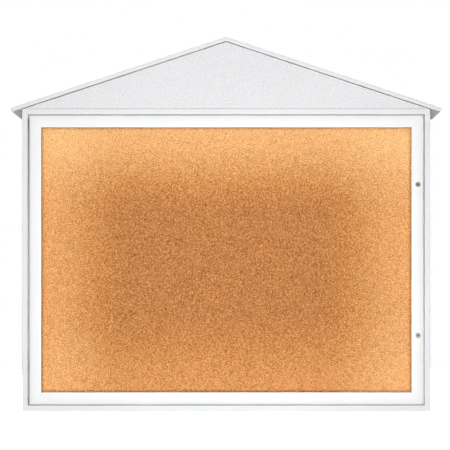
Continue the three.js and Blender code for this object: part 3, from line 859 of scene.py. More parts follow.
    @staticmethod
    def roughen(piece: bpy.types.Object, front: float, scale: float, height: float) -> None:
        """Raises the front of a sheet by a cloudy texture, apart from its rim.

        Args:
            piece: the piece.
            front: the depth of the front face.
            scale: the size of the texture's grains.
            height: from the lowest valley to the highest grain.
        """
        rim = {vertex.index for vertex in piece.data.vertices if abs(vertex.co.y - front) > FACE_TOLERANCE}
        for face in piece.data.polygons:
            if abs(face.center.y - front) > FACE_TOLERANCE:
                rim.update(face.vertices)
        body = piece.vertex_groups.new(name="relief")
        body.add([v.index for v in piece.data.vertices if v.index not in rim], 1.0, "REPLACE")
        texture = bpy.data.textures.new(f"{piece.name}_relief", "CLOUDS")
        texture.noise_scale = scale
        where = {"texture_coords": "LOCAL", "direction": "Y", "vertex_group": "relief"}
        Workbench.finish(piece, "DISPLACE", texture=texture, strength=height, mid_level=0.5, **where)
        piece.vertex_groups.clear()


def arc(middle: Pair, radii: Pair, start: float, end: float, steps: int) -> list[Pair]:
    """Lays points round part of an ellipse, from a first to a last angle in degrees."""
    angles = [math.radians(start + (end - start) * i / steps) for i in range(steps + 1)]
    return [(middle[0] + radii[0] * math.cos(a), middle[1] + radii[1] * math.sin(a)) for a in angles]


def front_middle(node: str) -> Vector:
    """The middle of the front of a CAD node's box."""
    low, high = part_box(node)
    return Vector(((low.x + high.x) / 2, low.y, (low.z + high.z) / 2))


def coat(finish: Finish, *nodes: str) -> None:
    """Gives CAD nodes a finish.

    Args:
        finish: the finish.
        nodes: the CAD nodes.
    """
    for name in nodes:
        for slot in frame["nodes"][name].material_slots:
            slot.material = finish.material()
        log.info("%s: %s", name, finish.name)


def fit(piece: bpy.types.Object, body: str, slot: str, finish: Finish, *replaced: str) -> None:
    """Gives a new piece its finish and fits it to a body.

    Args:
        piece: the piece, in place.
        body: the body that it rides on.
        slot: the record's material slot; not used.
        finish: its finish.
        replaced: the CAD nodes that it stands for.
    """
    piece.data.materials.clear()
    piece.data.materials.append(finish.material())
    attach(piece, body)
    if replaced:
        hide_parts(*replaced)
    log.info("%s: rides on %s, %d faces, %s", piece.name, body, len(piece.data.polygons), finish.name)


# Sub-assemblies


@dataclass(frozen=True)
class CaseFrame:
    """The four case extrusions, the caps at their feet and the screws that draw them together."""

    head_radius: float = 0.0038
    head_cone: float = 0.0022
    shank_radius: float = 0.0018
    length: float = 0.0437
    point: float = 0.002
    lip: float = 0.0002  # at the rim of the head and at the foot of its cone
    fillet: float = 0.0003  # between the cone and the shank
    tip_radius: float = 0.0003
    recess: Triple = (0.0042, 0.0009, 0.0016)
    edge_radius: float = 0.0026
    edge_steps: int = 8
    flat_weight: int = 80  # keeps the extrusions' flats flat in their shading

    def build(self) -> None:
        """Dresses the extrusions, rounds their outer edges and makes the eight frame screws."""
        coat(CASE_COAT, "top_rail")
        for node, inward, along in (
            ("left_jamb", RIGHT, UP),
            ("right_jamb", -RIGHT, UP),
            ("bottom_rail", UP, RIGHT),
        ):
            piece = self.rounded(node, inward, along)
            Workbench.shade(piece)
            Workbench.finish(piece, "WEIGHTED_NORMAL", keep_sharp=True, weight=self.flat_weight)
            fit(piece, "cabinet", "white_coat", CASE_COAT, node)
        coat(CAP_NYLON, "left_jamb_end_cap", "right_jamb_end_cap")
        for end in ("top", "bottom"):
            for row in ("front", "rear"):
                right = self.screw(f"{end}_right_{row}_screw")
                left = Workbench.copy(right, f"cross_{end}_left_{row}_screw", flip=True)
                Workbench.shade(left)
                fit(right, "cabinet", "stainless", SCREW_STEEL, f"{end}_right_{row}_screw")
                fit(left, "cabinet", "stainless", SCREW_STEEL, f"{end}_left_{row}_screw")

    def rounded(self, node: str, inward: Vector, along: Vector) -> bpy.types.Object:
        """Copies an extrusion and rounds the front edge that is the case's outline.

        Args:
            node: the CAD node that it is copied from.
            inward: from the case's outline towards its middle.
            along: along the extrusion.

        Returns:
            The copy.
        """
        low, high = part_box(node)
        piece = Workbench.from_node(node, f"rounded_{node}")
        outer = high if inward.x < 0 else low
        across = Vector((1, 1, 1)) - along
        corner = Vector((outer.x * across.x, low.y, outer.z * across.z)) + along * (low.dot(along) - TOOL_MARGIN)
        radius = self.edge_radius
        sweep = arc((radius, radius), (radius, radius), 270, 180, self.edge_steps)
        outline = [(-TOOL_MARGIN, -TOOL_MARGIN), (radius, -TOOL_MARGIN), *sweep, (-TOOL_MARGIN, radius)]
        points = [corner + inward * x + INTO * y for x, y in outline]
        length = (high - low).dot(along) + 2 * TOOL_MARGIN
        Workbench.combine(piece, Workbench.bar("edge", points, along * length))
        return piece

    def screw(self, node: str) -> bpy.types.Object:
        """Makes a right-hand frame screw: a countersunk head with a cross recess on a long shank.

        Args:
            node: the CAD node that it stands for.

        Returns:
            The screw.
        """
        low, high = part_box(node)
        foot = Vector((high.x, (low.y + high.y) / 2, (low.z + high.z) / 2))
        profile = [
            (0, 0),
            (self.head_radius - self.lip, 0),
            (self.head_radius, self.lip),
            (self.shank_radius + self.fillet, self.head_cone - self.lip),
            (self.shank_radius, self.head_cone + self.fillet),
            (self.shank_radius, self.length - self.point),
            (self.tip_radius, self.length),
            (0, self.length),
        ]
        piece = Workbench.turn(f"cross_{node}", profile, foot, -RIGHT, steps=32)
        Workbench.cross_recess(piece, foot, -RIGHT, self.recess)
        Workbench.shade(piece)
        return piece


@dataclass(frozen=True)
class NoticeBoard:
    """The cork that notices are pinned to, its backing board and the case's back panel."""

    spacing: float = 0.0033
    granule: float = 0.004
    relief: float = 0.0003
    smooth_angle: float = 60  # in degrees: steeper edges are shaded sharp

    def build(self) -> None:
        """Models the cork's rough face and dresses what is behind it."""
        low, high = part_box("cork_board")
        cork = Workbench.grid("cork_sheet", low, high, self.spacing)
        Workbench.thicken(cork, high.y - low.y)
        Workbench.roughen(cork, low.y, self.granule, self.relief)
        Workbench.shade(cork, self.smooth_angle)
        fit(cork, "cabinet", "cork", CORK, "cork_board")
        coat(BACKER_BOARD, "backing_board")
        coat(ROLLED_ALUMINIUM, "back_panel")


@dataclass(frozen=True)
class WallBars:
    """The bar that hooks over the wall's rail, the bar that keeps the case plumb, and their rivets."""

    sheet: float = 0.002
    grip: float = 0.030
    end_distance: float = 0.020
    rivet_radius: float = 0.0032
    rivet_height: float = 0.0011
    dome_end: float = 70  # degrees up the dome, where its dimple starts
    dome_steps: int = 6
    dimple: float = 0.0009
    dimple_taper: float = 0.8  # its floor's share of its radius
    dimple_rim: float = 0.97  # its rim's share of the rivet's height
    dimple_floor: float = 0.6  # its floor's share of the rivet's height

    def build(self) -> None:
        """Dresses both bars and sets a row of domed rivets along each, all copied from the first."""
        coat(BAR_ALUMINIUM, "hanger_bar", "spacer_bar")
        seats = self.seats("hanger_bar", 9) | self.seats("spacer_bar", 4)
        first, *others = seats
        model = self.rivet(first, seats[first])
        copies = [Workbench.copy(model, name, shift=seats[name] - seats[first]) for name in others]
        for rivet in (model, *copies):
            Workbench.shade(rivet)
            fit(rivet, "cabinet", "mill_aluminium", SCREW_STEEL)

    def seats(self, bar: str, count: int) -> dict[str, Vector]:
        """Spaces a row of rivets along a bar.

        Args:
            bar: the bar's CAD node.
            count: how many rivets it has.

        Returns:
            The middle of each rivet's seat, by the rivet's name.
        """
        low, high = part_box(bar)
        span = high.x - low.x - 2 * self.end_distance
        start, y, z = low.x + self.end_distance, low.y + self.sheet, high.z - self.grip / 2
        return {f"{bar}_rivet_{i + 1}": Vector((start + span * i / (count - 1), y, z)) for i in range(count)}

    def rivet(self, name: str, foot: Vector) -> bpy.types.Object:
        """Models a domed rivet with the dimple its mandrel leaves.

        Args:
            name: the rivet's name.
            foot: the middle of its seat.

        Returns:
            The rivet.
        """
        height, dimple = self.rivet_height, self.dimple
        floor = height * self.dimple_floor
        dome = arc((0, 0), (self.rivet_radius, height), 0, self.dome_end, self.dome_steps)
        hollow = [(dimple, height * self.dimple_rim), (dimple * self.dimple_taper, floor), (0, floor)]
        return Workbench.turn(name, [(0, 0), *dome, *hollow], foot, steps=24)


@dataclass(frozen=True)
class GabledRoof:
    """The two folded roof sheets, the stippled gable in front, the plain one behind and what joins them."""

    sheet: float = 0.002
    edge: float = 0.0115
    overrun: float = 0.004
    clearance: float = 0.0003
    ridge_gap: float = 0.00004  # the painted seam is closed
    # the grey foam strip under the fascia stands in for shade: painted shade
    shade_strip: float = 0.006  # the foam strip's height
    shade_strip_recess: float = 0.0004  # from the fascia's lower edge to the strip
    fold_radius: float = 0.0012
    gable_flange: float = 0.020
    spacing: float = 0.0026
    stipple: float = 0.0034
    stipple_height: float = 0.0004
    smooth_angle: float = 50  # in degrees: steeper edges of the stipple are shaded sharp

    def build(self) -> None:
        """Models the roof sheets and the stippled gable, and dresses the rest."""
        self.roof_sheets()
        self.stippled_gable()
        coat(CASE_COAT, "gable_back_panel")
        coat(FOLDED_ALUMINIUM, "ridge_joiner", "roof_left_cleat", "roof_right_cleat")

    def roof_sheets(self) -> None:
        """Models the right-hand roof sheet, a folded tray, and the grey foam strip under its fascia, which is
        painted shade, and mirrors both.
        """
        low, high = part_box("roof_right_panel")
        case_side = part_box("right_jamb")[1].x
        gable_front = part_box("gable_front_panel")[0].y
        sheet, edge, gap, overrun = self.sheet, self.edge, self.clearance, self.overrun
        mouth_front = low.y + sheet

        right = self.strip("right_roof_sheet", 0, (0, edge), overrun, (low.y, high.y))
        Workbench.soften(right, self.fold_radius, segments=3)
        seam, crest = RIGHT * (self.ridge_gap / 2), UP * high.z
        Workbench.slice(right, [(seam, -RIGHT), (crest, UP)], threshold=WELD)
        depths = (mouth_front, high.y - sheet)
        Workbench.combine(right, self.strip("inner", sheet, (sheet, edge - sheet), overrun, depths))
        pitch = self.pitch()
        lip = (high.x - case_side - gap - edge * math.sin(pitch)) / math.cos(pitch)
        depths = (mouth_front, high.y + overrun)
        Workbench.combine(right, self.strip("mouth", lip, (-overrun, edge / 2), overrun, depths))

        # the grey strip under the fascia is painted shade along the rake
        heights = (self.shade_strip_recess, self.shade_strip_recess + self.shade_strip)
        depths = (mouth_front + gap, gable_front - gap)
        shade_strip = self.strip("right_closure_strip", lip + gap, heights, -gap, depths)
        for piece, name, slot, finish in (
            (right, "roof_sheet", "white_coat", CASE_COAT),
            (shade_strip, "painted_shade_strip", "grey_rubber", SHADE_STRIP_FOAM),
        ):
            left = Workbench.copy(piece, f"left_{name}", flip=True)
            for each, side in ((piece, "right"), (left, "left")):
                Workbench.shade(each)
                nodes = (f"roof_{side}_panel",) if name == "roof_sheet" else ()
                fit(each, "cabinet", slot, finish, *nodes)

    def strip(self, name: str, start: float, heights: Pair, past: float, depths: Pair) -> bpy.types.Object:
        """Makes a bar that runs up the right-hand slope.

        Args:
            name: the piece's name.
            start: where it starts, up the slope from the eave's edge.
            heights: its bottom and its top, square to the slope.
            past: how far it goes past the ridge.
            depths: its front and its back.

        Returns:
            The piece.
        """
        low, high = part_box("roof_right_panel")
        pitch = self.pitch()
        sine, cosine = math.sin(pitch), math.cos(pitch)
        eave = Vector((high.x - self.edge * sine, 0, low.z))
        up_slope, square = Vector((-cosine, 0, sine)), Vector((sine, 0, cosine))
        bottom, top = heights
        ends = [(eave.x - self.ridge_gap / 2 + h * sine) / cosine + past for h in heights]
        corners = ((start, bottom), (ends[0], bottom), (ends[1], top), (start, top))
        outline = [eave + up_slope * run + square * height + INTO * depths[0] for run, height in corners]
        return Workbench.bar(name, outline, INTO * (depths[1] - depths[0]))

    @staticmethod
    def pitch() -> float:
        """Measures the roof's slope on the joiner below its ridge.

        Returns:
            The slope, in radians.
        """
        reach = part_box("ridge_joiner")[1].x
        points = [vertex.co for vertex in frame["nodes"]["ridge_joiner"].data.vertices]
        top = max(point.z for point in points if abs(point.x) < PLANE_TOLERANCE)
        end = max(point.z for point in points if point.x > reach - FACE_TOLERANCE)
        return math.atan2(top - end, reach)

    def stippled_gable(self) -> None:
        """Models the gable panel: a triangle with raised grains and a flange along its foot."""
        low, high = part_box("gable_front_panel")
        sheet = self.sheet
        vertices = [v.co for v in frame["nodes"]["gable_front_panel"].data.vertices]
        shoulder = max(v.z for v in vertices if v.x > high.x - FACE_TOLERANCE)
        normal = Vector((high.z - shoulder, 0, high.x)).normalized()
        back = low.y + sheet - FACE_TOLERANCE
        panel = Workbench.grid("stippled_gable", low, Vector((high.x, low.y, high.z)), self.spacing)
        apex = Vector((0, low.y, high.z))
        Workbench.slice(panel, [(apex, normal), (apex, Vector((-normal.x, 0, normal.z)))], fill=False)
        Workbench.thicken(panel, sheet)
        Workbench.open(panel, "FACE")
        Workbench.pick(panel, lambda face: face.calc_center_median().y > back)
        bpy.ops.mesh.bisect(plane_co=low + UP * sheet, plane_no=UP)
        Workbench.pick(
            panel,
            lambda face: face.calc_center_median().y > back and face.calc_center_bounds().z < low.z + sheet,
        )
        Workbench.extrude(INTO * (self.gable_flange - sheet))
        Workbench.close()
        Workbench.roughen(panel, low.y, self.stipple, self.stipple_height)
        Workbench.shade(panel, self.smooth_angle)
        fit(panel, "cabinet", "textured_coat", GABLE_COAT, "gable_front_panel")


@dataclass(frozen=True)
class DoorStop:
    """The weather seal that the door closes on, and the strike plates that the cams bear on."""

    def build(self) -> None:
        """Dresses the seals and the strike plates."""
        coat(SEAL_RUBBER, *(f"{side}_door_seal" for side in SIDES))
        coat(HINGE_STEEL, "upper_strike_plate", "lower_strike_plate")


@dataclass(frozen=True)
class ContinuousHinge:
    """The hinge along the left jamb, with the low screws that hold its leaves."""

    count: int = 9
    head_radius: float = 0.0026
    head_height: float = 0.00035
    rim_drop: float = 0.00012  # from the head's face to its rim
    rim_width: float = 0.0005
    recess: Triple = (0.0026, 0.0006, 0.000245)
    leaf: float = 0.0008
    end_distance: float = 0.040
    stagger: float = 0.020
    screw_depth: float = 0.0135  # from the case's face
    clearance: float = 0.0003

    def build(self) -> None:
        """Dresses the leaves and the pin and sets the screws, the two rows out of step with each other."""
        coat(HINGE_STEEL, "hinge_jamb_leaf", "hinge_door_leaf", "hinge_pin")
        low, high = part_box("hinge_jamb_leaf")
        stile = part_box("door_left_stile")[0].x
        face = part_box("left_jamb")[0].y
        span = high.z - low.z - 2 * self.end_distance - self.stagger
        rows = (
            ("jamb_leaf_screw", "cabinet", low.x + self.leaf, RIGHT, 0.0),
            ("door_leaf_screw", "door", stile - self.clearance - self.leaf, -RIGHT, self.stagger),
        )
        for row, body, x, outward, lift in rows:
            foot = Vector((x, face + self.screw_depth, low.z + self.end_distance + lift))
            model = self.screw(f"{row}_1", foot, outward)
            for i in range(self.count):
                shift = UP * (span * i / (self.count - 1))
                screw = model if i == 0 else Workbench.copy(model, f"{row}_{i + 1}", shift=shift)
                Workbench.shade(screw)
                fit(screw, body, "stainless", SCREW_STEEL)

    def screw(self, name: str, foot: Vector, outward: Vector) -> bpy.types.Object:
        """Models the low head of a screw that holds a leaf.

        Args:
            name: the screw's name.
            foot: the middle of its seat on the leaf.
            outward: from the leaf out of the head.

        Returns:
            The screw.
        """
        radius, height = self.head_radius, self.head_height
        rim = [(radius, height - self.rim_drop), (radius - self.rim_width, height)]
        screw = Workbench.turn(name, [(0, 0), (radius, 0), *rim, (0, height)], foot, outward, steps=24)
        Workbench.cross_recess(screw, foot + outward * height, -outward, self.recess)
        return screw


class Side(Enum):
    """The side of the door that a member is on: inwards from its outer edge, and along it."""

    LEFT = ((1, 0, 0), (0, 0, 1))
    RIGHT = ((-1, 0, 0), (0, 0, 1))
    TOP = ((0, 0, -1), (1, 0, 0))
    BOTTOM = ((0, 0, 1), (1, 0, 0))

    @property
    def inward(self) -> Vector:
        """From the outer edge towards the glazing."""
        return Vector(self.value[0])

    @property
    def along(self) -> Vector:
        """Along the member."""
        return Vector(self.value[1])


@dataclass(frozen=True)
class DoorFrame:
    """The door's four mitred extrusions, rounded to the outside, and the keys in their corners."""

    wall: float = 0.002
    crown_width: float = 0.021
    crown_drop: float = 0.006
    rebate: float = 0.010
    crown_steps: int = 14
    edge_radius: float = 0.0004
    mitre_closing: float = 0.0001
    overrun: float = 0.004
    spot_radius: float = 0.0075
    spot_depth: float = 0.0011
    bore_radius: float = 0.0063

    def build(self) -> None:
        """Models the four members and dresses the corner keys."""
        members = {
            Side.LEFT: "door_left_stile",
            Side.RIGHT: "door_right_stile",
            Side.TOP: "door_top_rail",
            Side.BOTTOM: "door_bottom_rail",
        }
        for side, node in members.items():
            piece = self.member(side, node)
            fit(piece, "door", "white_coat", DOOR_PAINTED_LIGHT_COAT, node)
        corners = (f"{end}_{side}_corner_key" for end in ("top", "bottom") for side in ("left", "right"))
        coat(ZINC, *corners)

    def crown(self, inset: float = 0) -> list[Pair]:
        """The face's rounded part, or the line that far inside it."""
        width, drop = self.crown_width, self.crown_drop
        return arc((width, drop), (width - inset, drop - inset), 180, 270, self.crown_steps)

    def member(self, side: Side, node: str) -> bpy.types.Object:
        """Models a hollow, mitred member.

        Args:
            side: the side of the door that it is on.
            node: the CAD node that it stands for.

        Returns:
            The member.
        """
        low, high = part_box(node)
        inward, along, wall = side.inward, side.along, self.wall
        face = abs((high - low).dot(inward))
        depth = high.y - low.y
        start = Vector((high.x if side is Side.RIGHT else low.x, low.y, high.z if side is Side.TOP else low.z))
        length = (high - low).dot(along)
        floor = face - self.rebate

        def at(points: Iterable[Pair], base: Vector) -> list[Vector]:
            """Lays a section's points, given as an inset and a depth, at the end of a bar."""
            return [base + inward * inset + INTO * y for inset, y in points]

        outer = [(0, depth), *self.crown(), (face, 0), (face, wall), (floor, wall), (floor, depth)]
        piece = Workbench.bar(f"mitred_{node}", at(outer, start), along * length)
        Workbench.soften(piece, self.edge_radius)
        near = start - along * self.mitre_closing
        far = start + along * (length + self.mitre_closing)
        Workbench.slice(piece, [(near, inward - along), (far, inward + along)])

        inner = [(wall, depth - wall), *self.crown(wall), (floor - wall, wall), (floor - wall, depth - wall)]
        past = along * self.overrun
        Workbench.combine(piece, Workbench.bar("hollow", at(inner, start - past), along * length + past * 2))
        if side is Side.RIGHT:
            for lock in ("upper", "lower"):
                Workbench.combine(piece, self.lock_bore(lock, low.y, depth))
        Workbench.shade(piece)
        return piece

    def lock_bore(self, lock: str, front: float, depth: float) -> bpy.types.Object:
        """Makes the cutter for a lock's spot face and bore.

        Args:
            lock: "upper" or "lower".
            front: where the door's face is.
            depth: the door's depth.

        Returns:
            The cutter.
        """
        foot = front_middle(f"{lock}_lock_body")
        foot.y = front
        start, end = -self.overrun, depth + self.overrun
        spot, step, bore = self.spot_radius, self.spot_depth, self.bore_radius
        profile = [(0, start), (spot, start), (spot, step), (bore, step), (bore, end), (0, end)]
        return Workbench.turn("lock_bore", profile, foot)


@dataclass(frozen=True)
class Glazing:
    """The clear sheet, its channel gasket and the beads that hold it from behind."""

    edge_radius: float = 0.0003

    def build(self) -> None:
        """Models the pane with softened edges and dresses the rest."""
        low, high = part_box("glazing_pane")
        corners = [(low.x, low.z), (high.x, low.z), (high.x, high.z), (low.x, high.z)]
        outline = [Vector((x, low.y, z)) for x, z in corners]
        pane = Workbench.bar("acrylic_pane", outline, INTO * (high.y - low.y))
        Workbench.soften(pane, self.edge_radius)
        Workbench.shade(pane)
        fit(pane, "door", "clear_sheet", PANE_ACRYLIC, "glazing_pane")
        coat(GASKET_RUBBER, "glazing_gasket")
        coat(DOOR_PAINTED_LIGHT_COAT, *(f"{side}_glazing_bead" for side in SIDES))


@dataclass(frozen=True)
class CamLock:
    """A cam lock: its barrel, the plug with its key slot, the nut, the cam and the cam's screw."""

    head_radius: float = 0.0072
    head_thickness: float = 0.002
    head_bevel: float = 0.0006
    barrel_radius: float = 0.006
    mouth_bevel: float = 0.0001
    plug_radius: float = 0.0041
    plug_head_radius: float = 0.005
    plug_head: float = 0.0012
    plug_bevel: float = 0.0002
    plug_setback: float = 0.0003
    clearance: float = 0.0003
    tail_half: float = 0.0026
    tapping: Pair = (0.0016, 0.02)  # radius and depth of the hole for the cam's screw
    cam_thickness: float = 0.002
    cam_edge: float = 0.00025
    key_half: Pair = (0.0033, 0.0011)
    key_depth: float = 0.014
    ward_half: Pair = (0.0032, 0.001)
    ward_groove: Pair = (0.0016, 0.00044)  # half the groove between the wards
    ward_recess: float = 0.0005
    ward_length: float = 0.006
    hub_radius: float = 0.0065
    tip_radius: float = 0.0045
    nut_chamfer: float = 0.0007
    screw_head: float = 0.0018
    screw_edge: float = 0.0006
    screw_shank: float = 0.0013
    screw_point: float = 0.0004
    recess: Triple = (0.0036, 0.0008, 0.0011)

    def build(self) -> None:
        """Models both locks: the upper one is made first and the lower one copied from it."""
        low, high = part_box("upper_lock_body")
        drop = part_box("lower_lock_body")[0] - low
        foot = front_middle("upper_lock_body")
        plug_low, plug_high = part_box("upper_lock_plug")
        plug_foot = Vector((foot.x, plug_low.y, foot.z))
        parts = (
            (self.body(foot, high.y - low.y), "lock_body", False, "lock_metal", LOCK_NICKEL),
            (self.plug(plug_foot, plug_high.y - plug_low.y), "lock_plug", True, "lock_metal", LOCK_NICKEL),
            (self.nut(), "lock_nut", False, "zinc_plate", ZINC),
            (self.cam(), "lock_cam", True, "zinc_plate", ZINC),
            (self.cam_screw(), "cam_screw", True, "zinc_plate", ZINC),
            # the wards' near-black steel is painted shade in the key slot
            (self.wards(plug_foot), "", True, "lock_metal", WARD_SHADE_STEEL),
        )
        for piece, part, turns, slot, finish in parts:
            twin = Workbench.copy(piece, piece.name.replace("upper", "lower"), shift=drop)
            for each, name in ((piece, "upper"), (twin, "lower")):
                nodes = (f"{name}_{part}",) if part else ()
                Workbench.shade(each)
                fit(each, f"{name}_lock" if turns else "door", slot, finish, *nodes)

    def body(self, foot: Vector, depth: float) -> bpy.types.Object:
        """Models a lock's body: a bevelled head on a barrel, bored for the plug.

        Args:
            foot: the middle of the head's face.
            depth: from the head's face to the barrel's end.

        Returns:
            The body.
        """
        bore = self.plug_radius + self.clearance
        recess = self.plug_head_radius + self.clearance
        floor = self.plug_setback + self.plug_head + self.clearance
        bevel, mouth = self.head_bevel, self.mouth_bevel
        profile = [
            (recess, mouth),
            (recess + mouth, 0),
            *arc((self.head_radius - bevel, bevel), (bevel, bevel), -90, 0, steps=4),
            (self.head_radius, self.head_thickness),
            (self.barrel_radius, self.head_thickness),
            (self.barrel_radius, depth),
            (bore, depth),
            (bore, floor),
            (recess, floor),
            (recess, mouth),
        ]
        return Workbench.turn("upper_lock_barrel", profile, foot)

    def plug(self, foot: Vector, depth: float) -> bpy.types.Object:
        """Models a lock's plug: a slotted head on a core, with a square tail bored for the cam's screw.

        Args:
            foot: the middle of the plug's face.
            depth: from the plug's face to the tail's end.

        Returns:
            The plug.
        """
        core = depth - self.cam_thickness - self.clearance
        profile = [
            (0, 0),
            (self.plug_head_radius - self.plug_bevel, 0),
            (self.plug_head_radius, self.plug_bevel),
            (self.plug_head_radius, self.plug_head),
            (self.plug_radius, self.plug_head),
            (self.plug_radius, core),
            (0, core),
        ]
        piece = Workbench.turn("upper_lock_core", profile, foot)
        square = (self.tail_half, self.tail_half)
        tail = Workbench.peg("tail", foot, square, self.plug_head, depth - self.plug_head)
        Workbench.combine(piece, tail, "UNION")
        slot = Workbench.peg("slot", foot, self.key_half, -TOOL_MARGIN, TOOL_MARGIN + self.key_depth)
        Workbench.combine(piece, slot)
        radius, reach = self.tapping
        seat = Vector((foot.x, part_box("upper_cam_screw")[0].y - self.clearance, foot.z))
        hole = [(0, 0), (radius, 0), (radius, reach), (0, reach)]
        Workbench.combine(piece, Workbench.turn("bore", hole, seat, steps=24))
        return piece

    def wards(self, foot: Vector) -> bpy.types.Object:
        """Models the wards just inside the upper lock's key slot, near-black as painted shade so that the slot
        looks dark.

        Args:
            foot: the middle of the plug's face.

        Returns:
            The wards.
        """
        recess, length = self.ward_recess, self.ward_length
        wards = Workbench.peg("upper_key_wards", foot, self.ward_half, recess, length)
        Workbench.combine(wards, Workbench.peg("groove", foot, self.ward_groove, recess - TOOL_MARGIN, length))
        return wards

    def nut(self) -> bpy.types.Object:
        """Models the upper lock's nut: a hexagon with its corners chamfered on both faces.

        Returns:
            The nut.
        """
        low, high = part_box("upper_lock_nut")
        foot = front_middle("upper_lock_nut")
        depth = high.y - low.y
        corner = (high.x - low.x) / 2
        turns = [math.radians(60 * i) for i in range(6)]
        outline = [foot + Vector((corner * math.cos(a), 0, corner * math.sin(a))) for a in turns]
        nut = Workbench.bar("upper_hex_nut", outline, INTO * depth)
        flat = corner * math.cos(math.radians(30))
        rise, wide = self.nut_chamfer, corner + TOOL_MARGIN / 2
        start, end = -TOOL_MARGIN, depth + TOOL_MARGIN
        chamfers = [(flat, 0), (wide, rise), (wide, depth - rise), (flat, depth)]
        barrel = [(0, start), (flat, start), *chamfers, (flat, end), (0, end)]
        bore, gap = self.barrel_radius + self.clearance, self.clearance
        mouth = bore + TOOL_MARGIN
        hole = [(0, start), (mouth, start), (bore, gap), (bore, depth - gap), (mouth, end), (0, end)]
        Workbench.combine(nut, Workbench.turn("bore", hole, foot))
        # The chamfer is cut last: it touches the flats, and a cut after it doesn't always come out the same.
        Workbench.combine(nut, Workbench.turn("chamfer", barrel, foot), "INTERSECT")
        Workbench.open(nut)
        bpy.ops.mesh.remove_doubles(threshold=WELD)
        Workbench.close()
        return nut

    def cam(self) -> bpy.types.Object:
        """Models the upper lock's cam: a pressed tongue with a square hole for the plug's tail.

        Returns:
            The cam.
        """
        low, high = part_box("upper_lock_cam")
        hub, tip = self.hub_radius, self.tip_radius
        foot = Vector(((low.x + high.x) / 2, low.y, low.z + hub))
        tip_height = high.z - foot.z - tip
        lean = math.degrees(math.asin((hub - tip) / tip_height))
        round_tip = arc((0, tip_height), (tip, tip), lean, 180 - lean, steps=12)
        round_hub = arc((0, 0), (hub, hub), 180 - lean, 360 + lean, steps=24)
        depth = high.y - low.y
        outline = [foot + Vector((x, 0, z)) for x, z in round_tip + round_hub]
        cam = Workbench.bar("upper_pressed_cam", outline, INTO * depth)
        Workbench.soften(cam, self.cam_edge)
        half = self.tail_half + self.clearance
        Workbench.combine(cam, Workbench.peg("hole", foot, (half, half), -TOOL_MARGIN, depth + 2 * TOOL_MARGIN))
        return cam

    def cam_screw(self) -> bpy.types.Object:
        """Models the screw that holds the upper lock's cam: a pan head with a cross recess.

        Returns:
            The screw.
        """
        low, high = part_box("upper_cam_screw")
        foot = front_middle("upper_cam_screw")
        foot.y = high.y
        head, length = (high.x - low.x) / 2, high.y - low.y
        height, shank, point, edge = self.screw_head, self.screw_shank, self.screw_point, self.screw_edge
        rim = arc((head - edge, edge), (edge, edge), -90, 0, steps=5)
        core = [(shank, height), (shank, length - point), (point, length), (0, length)]
        profile = [(0, 0), *rim, (head, height), *core]
        screw = Workbench.turn("upper_pan_screw", profile, foot, -INTO, steps=32)
        Workbench.cross_recess(screw, foot, -INTO, self.recess)
        return screw


# Studio


@dataclass(frozen=True)
class Softbox:
    """A soft lamp: where it stands, its side, its power and the point on the case that it is aimed at."""

    name: str
    place: Triple
    side: float
    power: float
    aim: Triple = (0, 0, -0.25)

    def build(self) -> None:
        """Adds the lamp."""
        lamp = bpy.data.lights.new(self.name, "AREA")
        lamp.shape = "SQUARE"
        lamp.size = self.side
        lamp.energy = self.power
        holder = bpy.data.objects.new(self.name, lamp)
        holder.visible_camera = False
        holder.location = self.place
        direction = Vector(self.aim) - Vector(self.place)
        holder.rotation_euler = direction.to_track_quat("-Z", "Y").to_euler()
        bpy.context.scene.collection.objects.link(holder)


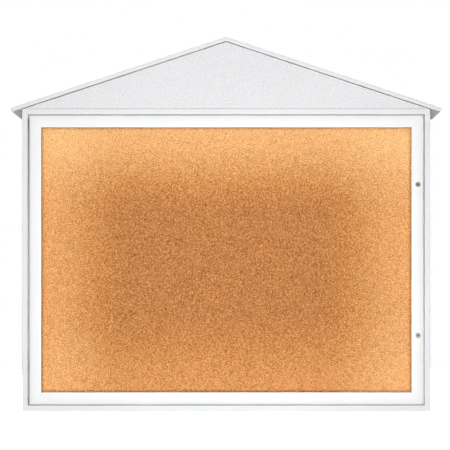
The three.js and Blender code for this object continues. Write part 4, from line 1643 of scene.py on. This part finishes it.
@dataclass(frozen=True)
class Studio:
    """The camera at the photograph's place, soft lamps, a pale floor and a white surround."""

    camera_place: Triple = (0.0456, -2.6123, -0.4312)
    focal_length: float = 69.67
    sensor: float = 36
    shift: Pair = (-0.0378, 0.1556)
    floor_height: float = -1.25
    floor_size: float = 14.0
    floor_squares: int = 8
    floor_colour: str = "#F7F7F6"
    floor_roughness: float = 0.8
    floor_glow: float = 0.9
    sky: float = 0.26
    ground: float = 0.19
    horizon: Pair = (-0.3, 0.6)  # the directions' heights where the ground ends and the sky starts
    softboxes: tuple[Softbox, ...] = (
        Softbox("front_softbox", (0.045, -2.75, -0.45), 0.6, 73.5),
        Softbox("key_softbox", (-2.0, -7.0, 3.4), 1.8, 25),
        Softbox("right_softbox", (4.6, 1.5, 1.2), 3.0, 150),
        Softbox("left_softbox", (-4.6, 1.5, 1.2), 3.0, 110),
        Softbox("back_softbox", (-2.2, 5.5, 1.6), 4.5, 210),
    )

    def build(self) -> None:
        """Sets up the camera, the lamps, the surround and the floor."""
        bpy.context.scene.view_settings.view_transform = "Standard"
        self.camera()
        for softbox in self.softboxes:
            softbox.build()
        self.surround()
        self.floor()

    def camera(self) -> None:
        """Adds the camera, level and square to the case, with its view shifted up."""
        lens = bpy.data.cameras.new("photo_camera")
        lens.lens = self.focal_length
        lens.sensor_width = self.sensor
        lens.shift_x, lens.shift_y = self.shift
        camera = bpy.data.objects.new("photo_camera", lens)
        camera.location = self.camera_place
        camera.rotation_euler = (math.pi / 2, 0, 0)
        bpy.context.scene.collection.objects.link(camera)
        bpy.context.scene.camera = camera

    def surround(self) -> None:
        """Makes the surround white behind the case, and softer as a light, brightest from above."""
        world = bpy.data.worlds.new("studio")
        world.use_nodes = True
        tree = world.node_tree
        tree.nodes.clear()
        direction = add_node(tree, "TexCoord").outputs["Generated"]
        height = add_node(tree, "SeparateXYZ", links={"Vector": direction}).outputs["Z"]
        ends = {"From Min": self.horizon[0], "From Max": self.horizon[1]}
        levels = {"To Min": self.ground, "To Max": self.sky}
        eased = add_node(tree, "MapRange", ends | levels, {"Value": height}, interpolation_type="SMOOTHSTEP")
        light = add_node(tree, "Background", links={"Strength": eased.outputs["Result"]})
        white = add_node(tree, "Background", {"Color": (1, 1, 1, 1), "Strength": 1.0})
        seen = add_node(tree, "LightPath").outputs["Is Camera Ray"]
        shown = {0: seen, 1: light.outputs["Background"], 2: white.outputs["Background"]}
        mixed = add_node(tree, "MixShader", links=shown)
        add_node(tree, "OutputWorld", links={"Surface": mixed.outputs["Shader"]})
        bpy.context.scene.world = world

    def floor(self) -> None:
        """Adds the floor: a pale studio sweep, lit so that it reads as white as the surround."""
        Workbench.clear()
        bpy.ops.mesh.primitive_grid_add(
            x_subdivisions=self.floor_squares,
            y_subdivisions=self.floor_squares,
            size=self.floor_size,
            location=(0, 0, self.floor_height),
        )
        floor = bpy.context.object
        floor.name = "studio_floor"
        bpy.ops.object.transform_apply(location=True, rotation=False, scale=False)
        material = bpy.data.materials.new("pale_studio_floor")
        material.use_nodes = True
        inputs = material.node_tree.nodes["Principled BSDF"].inputs
        inputs["Base Color"].default_value = linear(self.floor_colour)
        inputs["Roughness"].default_value = self.floor_roughness
        inputs["Emission Color"].default_value = (1, 1, 1, 1)
        inputs["Emission Strength"].default_value = self.floor_glow
        floor.data.materials.append(material)
        floor.visible_diffuse = False
        floor.visible_glossy = False


def main() -> None:
    """Builds the studio and the case's sub-assemblies, in order."""
    logging.basicConfig(level=logging.INFO, format="%(name)s: %(message)s")
    assemblies = (
        Studio(),
        CaseFrame(),
        NoticeBoard(),
        WallBars(),
        GabledRoof(),
        DoorStop(),
        ContinuousHinge(),
        DoorFrame(),
        Glazing(),
        CamLock(),
    )
    for assembly in assemblies:
        log.info("building %s", type(assembly).__name__)
        assembly.build()
    Workbench.clear()


if __name__ == "__main__":
    main()
